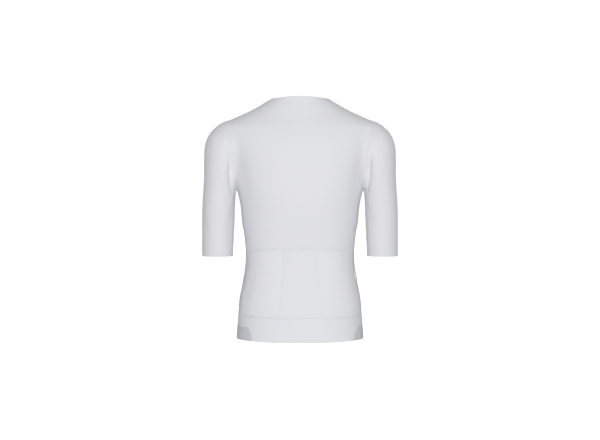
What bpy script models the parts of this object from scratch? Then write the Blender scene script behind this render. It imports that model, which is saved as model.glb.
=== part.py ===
"""A short-sleeved cycling jersey, filled out as if worn, with nobody inside it.

Frame: metres, +Z up, the back of the jersey towards +Y, the wearer's left towards +X. The origin
lies between the shoulders, at the base of the neck, where a wearer would carry the jersey.

The garment's outer face is one smooth form: a torso of oval sections, blended with two arms. Seam
lines are laid on that form. Every panel is a grid of points between four seam lines, and every
piece is a wall from such a grid inwards. Neighbours share the points of their seam, less the gap.
"""

import math

import bmesh
import bpy
import numpy as np
from mathutils import Matrix, Vector

MM = 0.001

# Driving dimensions, in millimetres.
CLOTH = 1.2
SEAM_GAP = 0.3
CUFF_HEIGHT = -402.0
POCKET_SEAM_HEIGHT = -556.0
POCKET_MOUTH_HEIGHT = -394.0
POCKET_HALF_WIDTH = 51.0
HEM_HEIGHT = -618.0
GRIPPER_WIDTH = 34.0
FRONT_HEM_RISE = 26.0
BACK_HEM_DROP = 3.0
FRONT_HEM_CURVE = 1.6
FRONT_HEM_DEPTH = 75.0
NECK_AXIS_Y = 6.0
COLLAR_BACK_TOP = 17.5
COLLAR_SIDE_TOP = 13.0
COLLAR_FRONT_DROP = 55.0
COLLAR_BACK_DEPTH = 21.0
COLLAR_SIDE_DEPTH = 13.0
COLLAR_FRONT_DEPTH = 18.0
ZIP_EDGE_X = 8.0
ZIP_TAPE = 0.8
COIL_HALF_WIDTH = 2.5
COIL_PROUD = 0.5
COIL_DEPTH = 2.2
POCKET_FULLNESS = 11.5
POCKET_CURVE = 0.75
MOUTH_ARCH = 14.0
TAB_CLOTH = 0.8

# Sections of the torso, in millimetres; squareness 2 is an ellipse.
TORSO_COLUMNS = ("height", "half_width", "front", "back", "squareness")
TORSO_SECTIONS = (
    (-660.0, 169.0, -103.0, 108.0, 2.35),
    (-618.0, 168.0, -104.0, 107.0, 2.35),
    (-566.0, 164.0, -105.0, 103.0, 2.40),
    (-513.0, 160.0, -106.0, 97.0, 2.45),
    (-471.0, 152.0, -107.0, 90.0, 2.45),
    (-429.0, 145.5, -109.0, 85.0, 2.40),
    (-397.0, 144.0, -111.0, 84.0, 2.40),
    (-355.0, 147.0, -115.0, 87.0, 2.35),
    (-312.0, 153.5, -119.0, 94.0, 2.30),
    (-270.0, 157.5, -123.0, 101.0, 2.30),
    (-228.0, 166.0, -124.0, 106.0, 2.30),
    (-190.0, 174.0, -122.0, 108.0, 2.25),
    (-150.0, 184.0, -117.0, 107.0, 2.20),
    (-110.0, 196.0, -107.0, 102.0, 2.15),
    (-80.0, 205.0, -94.0, 93.0, 2.10),
    (-58.0, 203.0, -80.0, 84.0, 2.05),
    (-48.0, 192.0, -73.5, 79.0, 2.00),
    (-37.0, 171.0, -68.0, 74.0, 2.00),
    (-26.5, 147.5, -63.0, 70.0, 2.00),
    (-16.0, 126.0, -59.0, 66.5, 2.00),
    (-5.0, 106.0, -55.0, 63.0, 2.00),
    (5.0, 89.5, -52.0, 60.5, 2.00),
    (15.0, 74.0, -49.0, 58.5, 2.00),
    (30.0, 66.0, -46.0, 57.0, 2.00),
)

# Sections of one arm, in millimetres, below the crown that closes it at the shoulder.
ARM_COLUMNS = ("height", "centre_x", "centre_y", "half_width", "half_depth")
ARM_SECTIONS = (
    (-440.0, 217.8, 10.0, 40.5, 45.0),
    (-402.0, 217.6, 9.0, 41.0, 46.0),
    (-350.0, 216.5, 8.0, 42.0, 47.0),
    (-300.0, 215.5, 7.0, 42.8, 48.5),
    (-250.0, 213.8, 5.0, 43.0, 50.5),
    (-228.0, 212.3, 4.0, 43.0, 52.0),
    (-190.0, 209.0, 3.0, 44.5, 54.5),
    (-150.0, 203.0, 3.0, 50.5, 57.0),
    (-130.0, 200.0, 3.0, 53.0, 58.0),
)
CROWN_HEIGHT = -130.0
CROWN_RISE = 74.0
CROWN_TOP_DEG = 75.0
CROWN_FOOT = 30.0
UNDERARM_FOOT = 12.0

# How widely arm and torso flow into each other, in millimetres.
BLEND_COLUMNS = ("height", "width")
BLEND_SECTIONS = (
    (-260.0, 7.0),
    (-222.0, 8.0),
    (-180.0, 14.0),
    (-120.0, 25.0),
    (-60.0, 25.0),
)

# The two seams of a side panel: how far back and how far forward they lie, in millimetres.
SIDE_COLUMNS = ("height", "rear", "front")
SIDE_SEAMS = (
    (-618.0, 58.0, -34.0),
    (-584.0, 44.0, -33.0),
    (-556.0, 34.0, -32.0),
    (-480.0, 28.0, -30.0),
    (-394.0, 24.0, -30.0),
    (-300.0, 33.0, -36.0),
    (-215.0, 41.0, -42.0),
)

# The armhole: a loop in a leaning plane, drawn in at the shoulder blade and the chest.
ARMHOLE_CENTRE = (181.0, 4.0, -132.0)
ARMHOLE_LEAN_DEG = 8.5
ARMHOLE_SCOOP = 7.0
SHOULDER_SEAM_DEG = -9.0
SIDE_REAR_DEG = 155.0
SIDE_FRONT_DEG = 205.0
NECK_SEAM_DEG = -14.0

# Facets along the seams.
ARMHOLE_BACK_STEPS = 10
ARMHOLE_SIDE_STEPS = 4
ARMHOLE_FRONT_STEPS = 10
SHOULDER_STEPS = 4
COLLAR_STEPS = 2
ABOVE_POCKET_STEPS = 5
POCKET_STEPS = 5
POCKET_COLUMNS = 6
BACK_COLUMNS = 3 * POCKET_COLUMNS
FRONT_COLUMNS = 9
SLEEVE_STEPS = 13
SLEEVE_LEVELS = 12
CROWN_LEVELS = 10
UNDERARM_SPREAD = 1.5

# The slider and its pull. The slider's two plates lie outside and inside the coil, and the pull's
# bar lies in the eye under the bridge.
SLIDER_LENGTH = 11.0
SLIDER_WIDTH = 8.4
SLIDER_CLEARANCE = 0.4
FRONT_PLATE = 1.4
BACK_PLATE = 1.2
PLATE_OVERLAP = 0.6
POST_HALF_WIDTH = 1.6
POST_LOW = 0.6
POST_TOP_MARGIN = 0.5
COIL_END_GAP = 4.0
HINGE_BELOW_MIDDLE = 0.5
HINGE_STANDS_OUT = 4.0
BRIDGE_HALF_WIDTH = 1.0
BRIDGE_HALF_LENGTH = 3.2
BRIDGE_ABOVE_HINGE = 1.8
EYE_HALF_WIDTH = 3.0
EYE_HALF_LENGTH = 1.6
EYE_ABOVE_PLATE = 0.2
EYE_ABOVE_HINGE = 1.1
PULL_LENGTH = 24.0
PULL_WIDTH = 7.0
PULL_THICKNESS = 1.4
PULL_BAR = 0.7
WINDOW_HALF_WIDTH = 1.7
WINDOW_LENGTH = 4.4

# Where the tab's edges lie in its patch of the side panel, across and up, as shares of the patch.
TAB_ACROSS = (0.04, 0.52)
TAB_UP = (-0.1, 0.58)

# Rays that find the form start inside it, at these places.
CORE_SHARE = 0.6
SIDE_START = 100.0
FRONT_START = -10.0
SHOULDER_START = 60.0
RAY_STEP = 1.0
RAY_REACH = 320
HALVINGS = 24
SETTLINGS = 10
NUDGE = 0.05
LEAST_SLOPE = 0.001

MIRROR = np.array((-1.0, 1.0, 1.0))


class Profile:
    """The columns of a section table, read at any height on a smooth curve through its rows."""

    def __init__(self, columns, rows):
        table = np.array(rows)
        self.height = table[:, 0]
        self.values = {name: table[:, place] for place, name in enumerate(columns)}
        self.slopes = {name: np.gradient(column, self.height) for name, column in self.values.items()}

    def read(self, name, height):
        """Return one column at the heights, held level past the ends of the table."""
        last = len(self.height) - 2
        row = np.clip(np.searchsorted(self.height, height) - 1, 0, last)
        span = self.height[row + 1] - self.height[row]
        share = np.clip((height - self.height[row]) / span, 0.0, 1.0)
        value, slope = self.values[name], self.slopes[name]
        rest = 1.0 - share
        ends = value[row] * rest**2 * (1.0 + 2.0 * share) + value[row + 1] * share**2 * (3.0 - 2.0 * share)
        turns = span * share * rest * (slope[row] * rest - slope[row + 1] * share)
        return ends + turns


TORSO = Profile(TORSO_COLUMNS, TORSO_SECTIONS)
ARM = Profile(ARM_COLUMNS, ARM_SECTIONS)
BLEND = Profile(BLEND_COLUMNS, BLEND_SECTIONS)
SIDES = Profile(SIDE_COLUMNS, SIDE_SEAMS)


# The form, in millimetres.

def gradient(field, points):
    """Return the slope of a field at the points."""
    slopes = []
    for axis in np.eye(3) * NUDGE:
        slopes.append((field(points + axis) - field(points - axis)) / (2.0 * NUDGE))
    return np.stack(slopes, axis=-1)


def torso_reach(points):
    """Return 1 on the torso, less inside it."""
    height = points[:, 2]
    front, back = TORSO.read("front", height), TORSO.read("back", height)
    across = np.abs(points[:, 0]) / TORSO.read("half_width", height)
    along = np.abs(points[:, 1] - (front + back) / 2.0) / ((back - front) / 2.0)
    power = TORSO.read("squareness", height)
    return (across**power + along**power) ** (1.0 / power)


def arm_reach(points):
    """Return 1 on the arms, less inside them, with a round crown at each shoulder."""
    height = points[:, 2]
    across = (np.abs(points[:, 0]) - ARM.read("centre_x", height)) / ARM.read("half_width", height)
    along = (points[:, 1] - ARM.read("centre_y", height)) / ARM.read("half_depth", height)
    above = np.clip((height - CROWN_HEIGHT) / CROWN_RISE, 0.0, None)
    return np.sqrt(across**2 + along**2 + above**2)


def distance_to(reach, points):
    """Return about how far the points lie outside the surface where a reach is 1."""
    steepness = np.maximum(np.linalg.norm(gradient(reach, points), axis=1), LEAST_SLOPE)
    return (reach(points) - 1.0) / steepness


def form(points):
    """Return about how far the points lie outside the whole garment form."""
    torso = distance_to(torso_reach, points)
    arm = distance_to(arm_reach, points)
    width = BLEND.read("width", points[:, 2])
    share = np.clip(0.5 + 0.5 * (arm - torso) / width, 0.0, 1.0)
    return arm + (torso - arm) * share - width * share * (1.0 - share)


def outward(points):
    """Return the unit direction out of the form at each of the points, in any layout."""
    flat = points.reshape(-1, 3)
    slope = gradient(form, flat)
    return (slope / np.linalg.norm(slope, axis=1, keepdims=True)).reshape(points.shape)


def settle(points):
    """Move the points onto the form."""
    flat = points.reshape(-1, 3).copy()
    for _ in range(SETTLINGS):
        slope = gradient(form, flat)
        flat -= slope * (form(flat) / np.sum(slope**2, axis=1))[:, None]
    return flat.reshape(points.shape)


def leave(origins, directions):
    """Return where rays that start inside the form first leave it."""
    origins, directions = np.broadcast_arrays(np.atleast_2d(origins), np.atleast_2d(directions))
    directions = directions / np.linalg.norm(directions, axis=1, keepdims=True)
    outer = np.zeros(len(origins))
    for step in range(1, RAY_REACH):
        beyond = form(origins + directions * step * RAY_STEP) > 0.0
        outer = np.where((outer == 0.0) & beyond, step * RAY_STEP, outer)
        if outer.all():
            break
    inner = outer - RAY_STEP
    for _ in range(HALVINGS):
        middle = (inner + outer) / 2.0
        beyond = form(origins + directions * middle[:, None]) > 0.0
        inner, outer = np.where(beyond, inner, middle), np.where(beyond, middle, outer)
    return origins + directions * outer[:, None]


# Seam lines, on the wearer's left; the right is their mirror image.

def points_of(*parts):
    """Return an array of points from x, y and z, any of which may be one number."""
    return np.stack(np.broadcast_arrays(*parts), axis=-1).astype(float)


def armhole():
    """Return the armhole loop, from the shoulder seam over the back, under the arm, up the front."""
    stops = (SHOULDER_SEAM_DEG, SIDE_REAR_DEG, SIDE_FRONT_DEG, SHOULDER_SEAM_DEG + 360.0)
    steps = (ARMHOLE_BACK_STEPS, ARMHOLE_SIDE_STEPS, ARMHOLE_FRONT_STEPS)
    arcs = [np.linspace(stops[i], stops[i + 1], steps[i] + 1)[:-1] for i in range(3)]
    turn = np.radians(np.concatenate(arcs))
    lean = math.radians(ARMHOLE_LEAN_DEG)
    up, back = np.cos(turn), np.sin(turn)
    origins = np.array(ARMHOLE_CENTRE) - points_of(ARMHOLE_SCOOP * back**2, 0.0, 0.0)
    return leave(origins, points_of(up * math.sin(lean), back, up * math.cos(lean)))


def side_seam(name, start, heights):
    """Return a side panel's rear or front seam, from its start on the armhole down the heights."""
    heights = np.array(heights)
    across = SIDES.read(name, heights)
    run = (heights - start[2]) / (heights[-1] - start[2])
    across += (start[1] - SIDES.read(name, start[2])) * np.clip(1.0 - 2.0 * run, 0.0, 1.0)
    inside = CORE_SHARE * TORSO.read("half_width", heights)
    return np.vstack((start, leave(points_of(inside, across, heights), points_of(1.0, 0.0, 0.0))))


def collar_height(azimuth, share):
    """Return the height of the collar's seam, at share 0, up to its top edge, at share 1."""
    turn = math.sin(azimuth)
    back, front = max(turn, 0.0) ** 2, min(turn, 0.0) ** 2
    top = COLLAR_SIDE_TOP + (COLLAR_BACK_TOP - COLLAR_SIDE_TOP) * back - COLLAR_FRONT_DROP * front
    depth = COLLAR_SIDE_DEPTH + (COLLAR_BACK_DEPTH - COLLAR_SIDE_DEPTH) * back
    depth += (COLLAR_FRONT_DEPTH - COLLAR_SIDE_DEPTH) * front
    return top - (1.0 - share) * depth


def front_edge(heights, x=ZIP_EDGE_X):
    """Return points down the front at the heights, at the edge of the zip or another x."""
    return leave(points_of(x, FRONT_START, np.array(heights)), points_of(0.0, -1.0, 0.0))


def neck_ring(share):
    """Return a ring of the collar, from the zip's edge round the back to its other edge."""
    side = math.radians(NECK_SEAM_DEG)
    front = -0.5 * math.pi
    half = np.linspace(side, front, FRONT_COLUMNS + 1)[:-1]
    back = np.linspace(side, math.pi - side, BACK_COLUMNS + 1)
    heights = np.array([collar_height(turn, share) for turn in half])
    left = leave(points_of(0.0, NECK_AXIS_Y, heights), points_of(np.cos(half), np.sin(half), 0.0))
    left = np.vstack((left, front_edge([collar_height(front, share)])))
    heights = np.array([collar_height(turn, share) for turn in back])
    over = leave(points_of(0.0, NECK_AXIS_Y, heights), points_of(np.cos(back), np.sin(back), 0.0))
    return np.vstack((left[:0:-1], over, (left * MIRROR)[1:]))


def shoulder_seam(tip, neck):
    """Return the seam from the armhole to the neck."""
    share = np.linspace(0.0, 1.0, SHOULDER_STEPS + 1)[1:-1, None]
    flat = tip + (neck - tip) * share
    inside = points_of(flat[:, 0], flat[:, 1], flat[:, 2] - SHOULDER_START)
    return np.vstack((tip, leave(inside, points_of(0.0, 0.0, 1.0)), neck))


def beneath(line, heights):
    """Return the points of the form at the heights, each facing the same way as its line's point."""
    middle = (TORSO.read("front", heights) + TORSO.read("back", heights)) / 2.0
    inside = points_of(0.0, middle, heights)
    return leave(inside, points_of(line[:, 0], line[:, 1] - middle, 0.0))


# Grids between seam lines.

def shares(line):
    """Return how far along a line each of its points lies, from 0 to 1."""
    length = np.concatenate(([0.0], np.cumsum(np.linalg.norm(np.diff(line, axis=0), axis=1))))
    return length / length[-1]


def panel(bottom, top, start, end, arch=None):
    """Return a grid on the form between four lines; start and end run from bottom to top.

    An arch gives how far the middle of each row stands above its ends, in millimetres.
    """
    across = ((shares(bottom) + shares(top)) / 2.0)[None, :, None]
    up = ((shares(start) + shares(end)) / 2.0)[:, None, None]
    rows = bottom[None] * (1.0 - up) + top[None] * up
    sides = start[:, None] * (1.0 - across) + end[:, None] * across
    lower = bottom[0] * (1.0 - across) + bottom[-1] * across
    upper = top[0] * (1.0 - across) + top[-1] * across
    grid = rows + sides - (lower * (1.0 - up) + upper * up)
    if arch is not None:
        grid[..., 2] += arch[:, None] * np.sin(math.pi * across[..., 0])
    grid[1:-1, 1:-1] = settle(grid[1:-1, 1:-1])
    return grid


def trimmed(grid, closed=False):
    """Return the grid with each edge drawn in by half a seam gap."""
    result = grid.copy()
    reach = SEAM_GAP / 2.0
    edges = [(0, 1), (-1, -2)]
    for edge, inner in edges:
        run = grid[inner] - grid[edge]
        result[edge] += run / np.linalg.norm(run, axis=-1, keepdims=True) * reach
        if not closed:
            run = grid[:, inner] - grid[:, edge]
            result[:, edge] += run / np.linalg.norm(run, axis=-1, keepdims=True) * reach
    return result


def slab(outer, inner, closed=False):
    """Return the points and triangles of the solid between two grids of the same size."""
    rows, count = outer.shape[:2]
    points = np.concatenate((outer.reshape(-1, 3), inner.reshape(-1, 3)))
    under = rows * count
    spans = count if closed else count - 1
    quads = []
    for row in range(rows - 1):
        for place in range(spans):
            after = (place + 1) % count
            a, b = row * count + place, row * count + after
            c, d = b + count, a + count
            quads += [(a, b, c, d), (d + under, c + under, b + under, a + under)]
    for place in range(spans):
        after = (place + 1) % count
        low, high = (rows - 1) * count + place, (rows - 1) * count + after
        quads += [(after, place, place + under, after + under), (low, high, high + under, low + under)]
    if not closed:
        for row in range(rows - 1):
            a, b = row * count, (row + 1) * count
            c, d = a + count - 1, b + count - 1
            quads += [(a, b, b + under, a + under), (d, c, c + under, d + under)]
    triangles = []
    for a, b, c, d in quads:
        split_at_b = a >= under and c >= under
        triangles += [(a, b, d), (b, c, d)] if split_at_b else [(a, b, c), (a, c, d)]
    return points, triangles


# Blender objects.

def material(name, colour, roughness, metallic=0.0):
    """Return a Principled material."""
    made = bpy.data.materials.new(name)
    made.use_nodes = True
    shader = made.node_tree.nodes["Principled BSDF"]
    shader.inputs["Base Color"].default_value = (*colour, 1.0)
    shader.inputs["Roughness"].default_value = roughness
    shader.inputs["Metallic"].default_value = metallic
    return made


def piece(name, outer, inner, finish, closed=False):
    """Add the solid between two grids, given in millimetres."""
    points, triangles = slab(outer, inner, closed)
    mesh = bpy.data.meshes.new(name)
    mesh.from_pydata((points * MM).tolist(), [], triangles)
    builder = bmesh.new()
    builder.from_mesh(mesh)
    bmesh.ops.recalc_face_normals(builder, faces=builder.faces)
    builder.to_mesh(mesh)
    builder.free()
    mesh.shade_smooth()
    mesh.set_sharp_from_angle(angle=math.radians(45.0))
    mesh.materials.append(finish)
    made = bpy.data.objects.new(name, mesh)
    garment.objects.link(made)
    return made


def cloth(name, grid, finish, closed=False, lift=0.0, thickness=CLOTH):
    """Add a wall of cloth inwards from a grid, lifted off it where it lies on another piece."""
    line = outward(grid)
    edge = trimmed(grid, closed)
    lifts = np.broadcast_to(lift, grid.shape[:2])[..., None]
    outer = edge + line * (lifts + (thickness if np.any(lifts > 0.0) else 0.0))
    return piece(name, outer, outer - line * thickness, finish, closed)


def box(name, low, high, group, finish=None):
    """Add a box between two corners, given in millimetres."""
    low, high = Vector(low) * MM, Vector(high) * MM
    bpy.ops.mesh.primitive_cube_add(size=1.0, location=(low + high) / 2.0)
    made = bpy.context.object
    made.name = made.data.name = name
    made.scale = high - low
    bpy.ops.object.transform_apply(location=False, rotation=False, scale=True)
    for owner in list(made.users_collection):
        owner.objects.unlink(made)
    group.objects.link(made)
    if finish:
        made.data.materials.append(finish)
    else:
        made.hide_render = True
        made.display_type = "WIRE"
    return made


def combine(target, other, operation):
    """Join another solid to the target, or cut it out of it."""
    step = target.modifiers.new(other.name, "BOOLEAN")
    step.object = other
    step.operation = operation
    step.solver = "EXACT"


def both_sides(name, grid, finish, **options):
    """Add a piece on the wearer's left, and its mirror image on the right."""
    left = cloth(name + "_left", grid, finish, **options)
    right = cloth(name + "_right", grid * MIRROR, finish, **options)
    return left, right


for old in list(bpy.data.objects):
    bpy.data.objects.remove(old)

garment = bpy.data.collections.new("cycling_jersey")
helpers = bpy.data.collections.new("helpers")
for group in (garment, helpers):
    bpy.context.scene.collection.children.link(group)

KNIT = material("knit", (0.78, 0.79, 0.82), 0.62)
SIDE_KNIT = material("side_knit", (0.74, 0.75, 0.79), 0.66)
BAND = material("elastic_band", (0.76, 0.77, 0.80), 0.55)
ZIP_CLOTH = material("zip_tape_weave", (0.80, 0.81, 0.83), 0.70)
COIL_PLASTIC = material("coil_plastic", (0.82, 0.82, 0.84), 0.35)
SLIDER_METAL = material("slider_metal", (0.72, 0.72, 0.74), 0.30, 1.0)
PULL_PLASTIC = material("pull_plastic", (0.80, 0.80, 0.82), 0.45)
LABEL = material("label_weave", (0.86, 0.86, 0.86), 0.55)


# Seams.
loop = armhole()
rear_place = ARMHOLE_BACK_STEPS
front_place = ARMHOLE_BACK_STEPS + ARMHOLE_SIDE_STEPS
back_arc = loop[:rear_place + 1]
side_arc = loop[rear_place:front_place + 1]
front_arc = np.vstack((loop[front_place:], loop[:1]))

gripper_top = HEM_HEIGHT + GRIPPER_WIDTH
above_pocket = np.linspace(back_arc[-1, 2], POCKET_MOUTH_HEIGHT, ABOVE_POCKET_STEPS + 1)[1:]
along_pocket = np.linspace(POCKET_MOUTH_HEIGHT, POCKET_SEAM_HEIGHT, POCKET_STEPS + 1)[1:]
rear_heights = [*above_pocket, *along_pocket, gripper_top, HEM_HEIGHT]
rear_seam = side_seam("rear", back_arc[-1], rear_heights)
side_steps = ABOVE_POCKET_STEPS + POCKET_STEPS + 1
front_heights = np.linspace(front_arc[0, 2], gripper_top, side_steps + 1)[1:]
front_seam = side_seam("front", front_arc[0], front_heights)

seam_ring = neck_ring(0.0)
top_ring = neck_ring(1.0)
neck_left = FRONT_COLUMNS
neck_right = FRONT_COLUMNS + BACK_COLUMNS
shoulder = shoulder_seam(loop[0], seam_ring[neck_left])


# The back, from the hem band's seam to the shoulders and the neck.
pocket_ends = rear_seam[-3]
middle_x = np.linspace(-POCKET_HALF_WIDTH, POCKET_HALF_WIDTH, POCKET_COLUMNS + 1)
outer_x = np.linspace(POCKET_HALF_WIDTH, pocket_ends[0], POCKET_COLUMNS + 1)[1:-1]
bottom_x = np.concatenate((middle_x, outer_x))
bottom_left = points_of(bottom_x[POCKET_COLUMNS // 2:], 0.0, POCKET_SEAM_HEIGHT)
lower_left = leave(bottom_left, points_of(0.0, 1.0, 0.0))
lower_left = np.vstack((lower_left, pocket_ends))
back_bottom = np.vstack((lower_left[::-1], (lower_left * MIRROR)[1:]))
back_side = np.vstack((rear_seam[-3::-1], back_arc[-2::-1], shoulder[1:]))
back_neck = seam_ring[neck_left:neck_right + 1]
mouth_rows = (0, POCKET_STEPS, 2 * POCKET_STEPS, len(back_side) - 1)
back_arch = np.interp(np.arange(len(back_side)), mouth_rows, (0.0, MOUTH_ARCH, 0.0, 0.0))
back_grid = panel(back_bottom, back_neck, back_side, back_side * MIRROR, back_arch)
cloth("back_panel", back_grid, KNIT)

# The side panels, from the armholes to the gripper.
side_across = np.linspace(rear_seam[-2, 1], front_seam[-1, 1], ARMHOLE_SIDE_STEPS + 1)[1:-1]
side_bottom = leave(points_of(SIDE_START, side_across, gripper_top), points_of(1.0, 0.0, 0.0))
side_bottom = np.vstack((rear_seam[-2], side_bottom, front_seam[-1]))
side_grid = panel(side_bottom, side_arc, rear_seam[-2::-1], front_seam[::-1])
both_sides("side_panel", side_grid, SIDE_KNIT)

# The fronts, from the gripper to the shoulders and the neck.
rise = np.linspace(0.0, 1.0, FRONT_COLUMNS + 1) ** FRONT_HEM_CURVE * FRONT_HEM_RISE
front_turn = np.radians(np.linspace(0.0, 90.0, FRONT_COLUMNS + 1))
facing_y = front_seam[-1, 1] - FRONT_HEM_DEPTH * np.sin(front_turn)
facing = points_of(np.cos(front_turn) * front_seam[-1, 0], facing_y, 0.0)
front_bottom = beneath(facing, gripper_top + rise)
front_bottom[0] = front_seam[-1]
front_bottom[-1:] = front_edge(gripper_top + rise[-1:])
neck_front = seam_ring[:neck_left + 1][::-1]
front_side = np.vstack((front_seam[::-1], front_arc[1:], shoulder[1:]))
edge_heights = np.linspace(front_bottom[-1, 2], neck_front[-1, 2], len(front_side))
zip_side = np.vstack((front_bottom[-1], front_edge(edge_heights[1:-1]), neck_front[-1]))
front_grid = panel(front_bottom, neck_front, front_side, zip_side)
both_sides("front_panel", front_grid, KNIT)

# The hem: a band across the back, and a gripper round each side to the zip.
hem_x = np.linspace(rear_seam[-1, 0], 0.0, len(back_bottom) // 2 + 1)[1:]
hem_drop = BACK_HEM_DROP * (1.0 - (hem_x / rear_seam[-1, 0]) ** 2)
hem_back = leave(points_of(hem_x, 0.0, HEM_HEIGHT - hem_drop), points_of(0.0, 1.0, 0.0))
hem_back = np.vstack((rear_seam[-1], hem_back))
hem_line = np.vstack((hem_back, (hem_back * MIRROR)[-2::-1]))
band_side = rear_seam[:-4:-1]
cloth("back_hem_band", panel(hem_line, back_bottom, band_side, band_side * MIRROR), BAND)

gripper_line = np.vstack((side_bottom, front_bottom[1:]))
gripper_hem = beneath(gripper_line, gripper_line[:, 2] - GRIPPER_WIDTH)
gripper_hem[0] = rear_seam[-1]
gripper_hem[-1:] = front_edge(gripper_line[-1:, 2] - GRIPPER_WIDTH)
gripper_grid = np.stack((gripper_hem, gripper_line))
both_sides("hem_gripper", gripper_grid, BAND)

# The collar, a low band round the neck, open at the zip.
collar_rings = [neck_ring(step / COLLAR_STEPS) for step in range(COLLAR_STEPS + 1)]
cloth("collar", np.stack(collar_rings), KNIT)


# Sleeves: rings that turn from the armhole's leaning plane to the level cuff.
def guide(points, steps, ease):
    """Return points along a line, closer together at its start as ease grows."""
    place = np.linspace(0.0, 1.0, steps + 1) ** ease
    along = shares(points)
    return np.stack([np.interp(place, along, points[:, axis]) for axis in range(3)], axis=-1)


def sleeve_rings(loop):
    """Return the sleeve's rings, from the armhole to the cuff, each with the armhole's points."""
    underarm = loop[ARMHOLE_BACK_STEPS + ARMHOLE_SIDE_STEPS // 2]
    lean = math.sin(math.radians(ARMHOLE_LEAN_DEG))
    crest = leave(np.array(ARMHOLE_CENTRE), points_of(lean, 0.0, 1.0))[0]
    below = np.linspace(underarm[2] - UNDERARM_FOOT, CUFF_HEIGHT, SLEEVE_LEVELS)
    centre = points_of(ARM.read("centre_x", below), ARM.read("centre_y", below), below)
    inner = np.vstack((underarm, leave(centre, points_of(-1.0, 0.0, 0.0))))
    turns = np.radians(np.linspace(CROWN_TOP_DEG, 0.0, CROWN_LEVELS))
    core = np.array((ARM.read("centre_x", CROWN_HEIGHT), ARM.read("centre_y", CROWN_HEIGHT), CROWN_HEIGHT))
    shoulder_cap = leave(core, points_of(np.cos(turns), 0.0, np.sin(turns)))
    levels = np.linspace(CROWN_HEIGHT - CROWN_FOOT, CUFF_HEIGHT, SLEEVE_LEVELS)
    centre = points_of(ARM.read("centre_x", levels), ARM.read("centre_y", levels), levels)
    outer = np.vstack((crest, shoulder_cap, leave(centre, points_of(1.0, 0.0, 0.0))))
    low, high = guide(inner, SLEEVE_STEPS, UNDERARM_SPREAD), guide(outer, SLEEVE_STEPS, 1.0)
    rise = crest - underarm
    tall = (loop - (underarm + crest) / 2.0) @ rise / (rise @ rise)
    wide = loop[:, 1] - ARMHOLE_CENTRE[1]
    rings = [loop]
    for step in range(1, SLEEVE_STEPS + 1):
        middle = (low[step] + high[step]) / 2.0
        up = (high[step] - low[step]) * (1.0, 0.0, 1.0)
        rays = up * tall[:, None] + points_of(0.0, wide, 0.0)
        rings.append(leave(np.broadcast_to(middle, rays.shape), rays))
    return np.stack(rings)


sleeve_grid = sleeve_rings(loop)
both_sides("sleeve", sleeve_grid, KNIT, closed=True)


# Three pockets, sewn to the back along their sides and foot, full at the mouth.
def pocket(name, first):
    """Add a pocket over the back's columns from the first one on."""
    area = back_grid[:POCKET_STEPS + 1, first:first + POCKET_COLUMNS + 1]
    across = np.sin(np.linspace(0.0, math.pi, POCKET_COLUMNS + 1)) ** POCKET_CURVE
    up = np.sin(np.linspace(0.0, 1.0, POCKET_STEPS + 1) * 0.5 * math.pi)
    return cloth(name, area, KNIT, lift=SEAM_GAP + POCKET_FULLNESS * up[:, None] * across[None])


for place, name in enumerate(("pocket_left", "pocket_middle", "pocket_right")):
    pocket(name, place * POCKET_COLUMNS)


# The zip: two tapes and the closed coil between them, from hem to collar.
edge_line = np.vstack((gripper_hem[-1], zip_side, [ring[0] for ring in collar_rings[1:]]))
tape_line = front_edge(edge_line[:, 2], COIL_HALF_WIDTH)
both_sides("zip_tape", np.stack((edge_line, tape_line), axis=1), ZIP_CLOTH, thickness=ZIP_TAPE)

slider_height = edge_line[-1, 2] - 0.5 * SLIDER_LENGTH
coil_line = tape_line[tape_line[:, 2] < slider_height - COIL_END_GAP]
coil_line = np.vstack((coil_line, front_edge([slider_height], COIL_HALF_WIDTH)))
coil_grid = np.stack((coil_line, coil_line * MIRROR), axis=1)
coil_out = outward(coil_grid)
coil_face = trimmed(coil_grid) + coil_out * COIL_PROUD
piece("zip_coil", coil_face, coil_face - coil_out * COIL_DEPTH, COIL_PLASTIC)

# The slider, in its own frame: x across, y up the zip, z out of the cloth.
seat = front_edge([slider_height], 0.0)[0]
away = Vector(outward(seat[None])[0])
across = Vector((1.0, 0.0, 0.0))
upward = away.cross(across).normalized()
frame = Matrix((across, upward, away)).transposed().to_4x4()
frame.translation = Vector(seat) * MM

half_length, half_width = SLIDER_LENGTH / 2.0, SLIDER_WIDTH / 2.0
plate_low = COIL_PROUD + SLIDER_CLEARANCE
plate_high = plate_low + FRONT_PLATE
inner_low = plate_low + PLATE_OVERLAP
back_high = COIL_PROUD - COIL_DEPTH - SLIDER_CLEARANCE
hinge = Vector((0.0, -HINGE_BELOW_MIDDLE, HINGE_STANDS_OUT))
slider = box("zip_slider", (-half_width, -half_length, plate_low), (half_width, half_length, plate_high),
             garment, SLIDER_METAL)
back_plate = box("slider_back_plate", (-half_width, -half_length, back_high - BACK_PLATE),
                 (half_width, half_length, back_high), helpers)
post = box("slider_post", (-POST_HALF_WIDTH, POST_LOW, back_high - PLATE_OVERLAP),
           (POST_HALF_WIDTH, half_length - POST_TOP_MARGIN, inner_low), helpers)
bridge = box("slider_bridge", (-BRIDGE_HALF_WIDTH, hinge.y - BRIDGE_HALF_LENGTH, inner_low),
             (BRIDGE_HALF_WIDTH, hinge.y + BRIDGE_HALF_LENGTH, hinge.z + BRIDGE_ABOVE_HINGE), helpers)
eye = box("slider_eye", (-EYE_HALF_WIDTH, hinge.y - EYE_HALF_LENGTH, plate_high + EYE_ABOVE_PLATE),
          (EYE_HALF_WIDTH, hinge.y + EYE_HALF_LENGTH, hinge.z + EYE_ABOVE_HINGE), helpers)
for other in (back_plate, post, bridge):
    combine(slider, other, "UNION")
combine(slider, eye, "DIFFERENCE")

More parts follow.
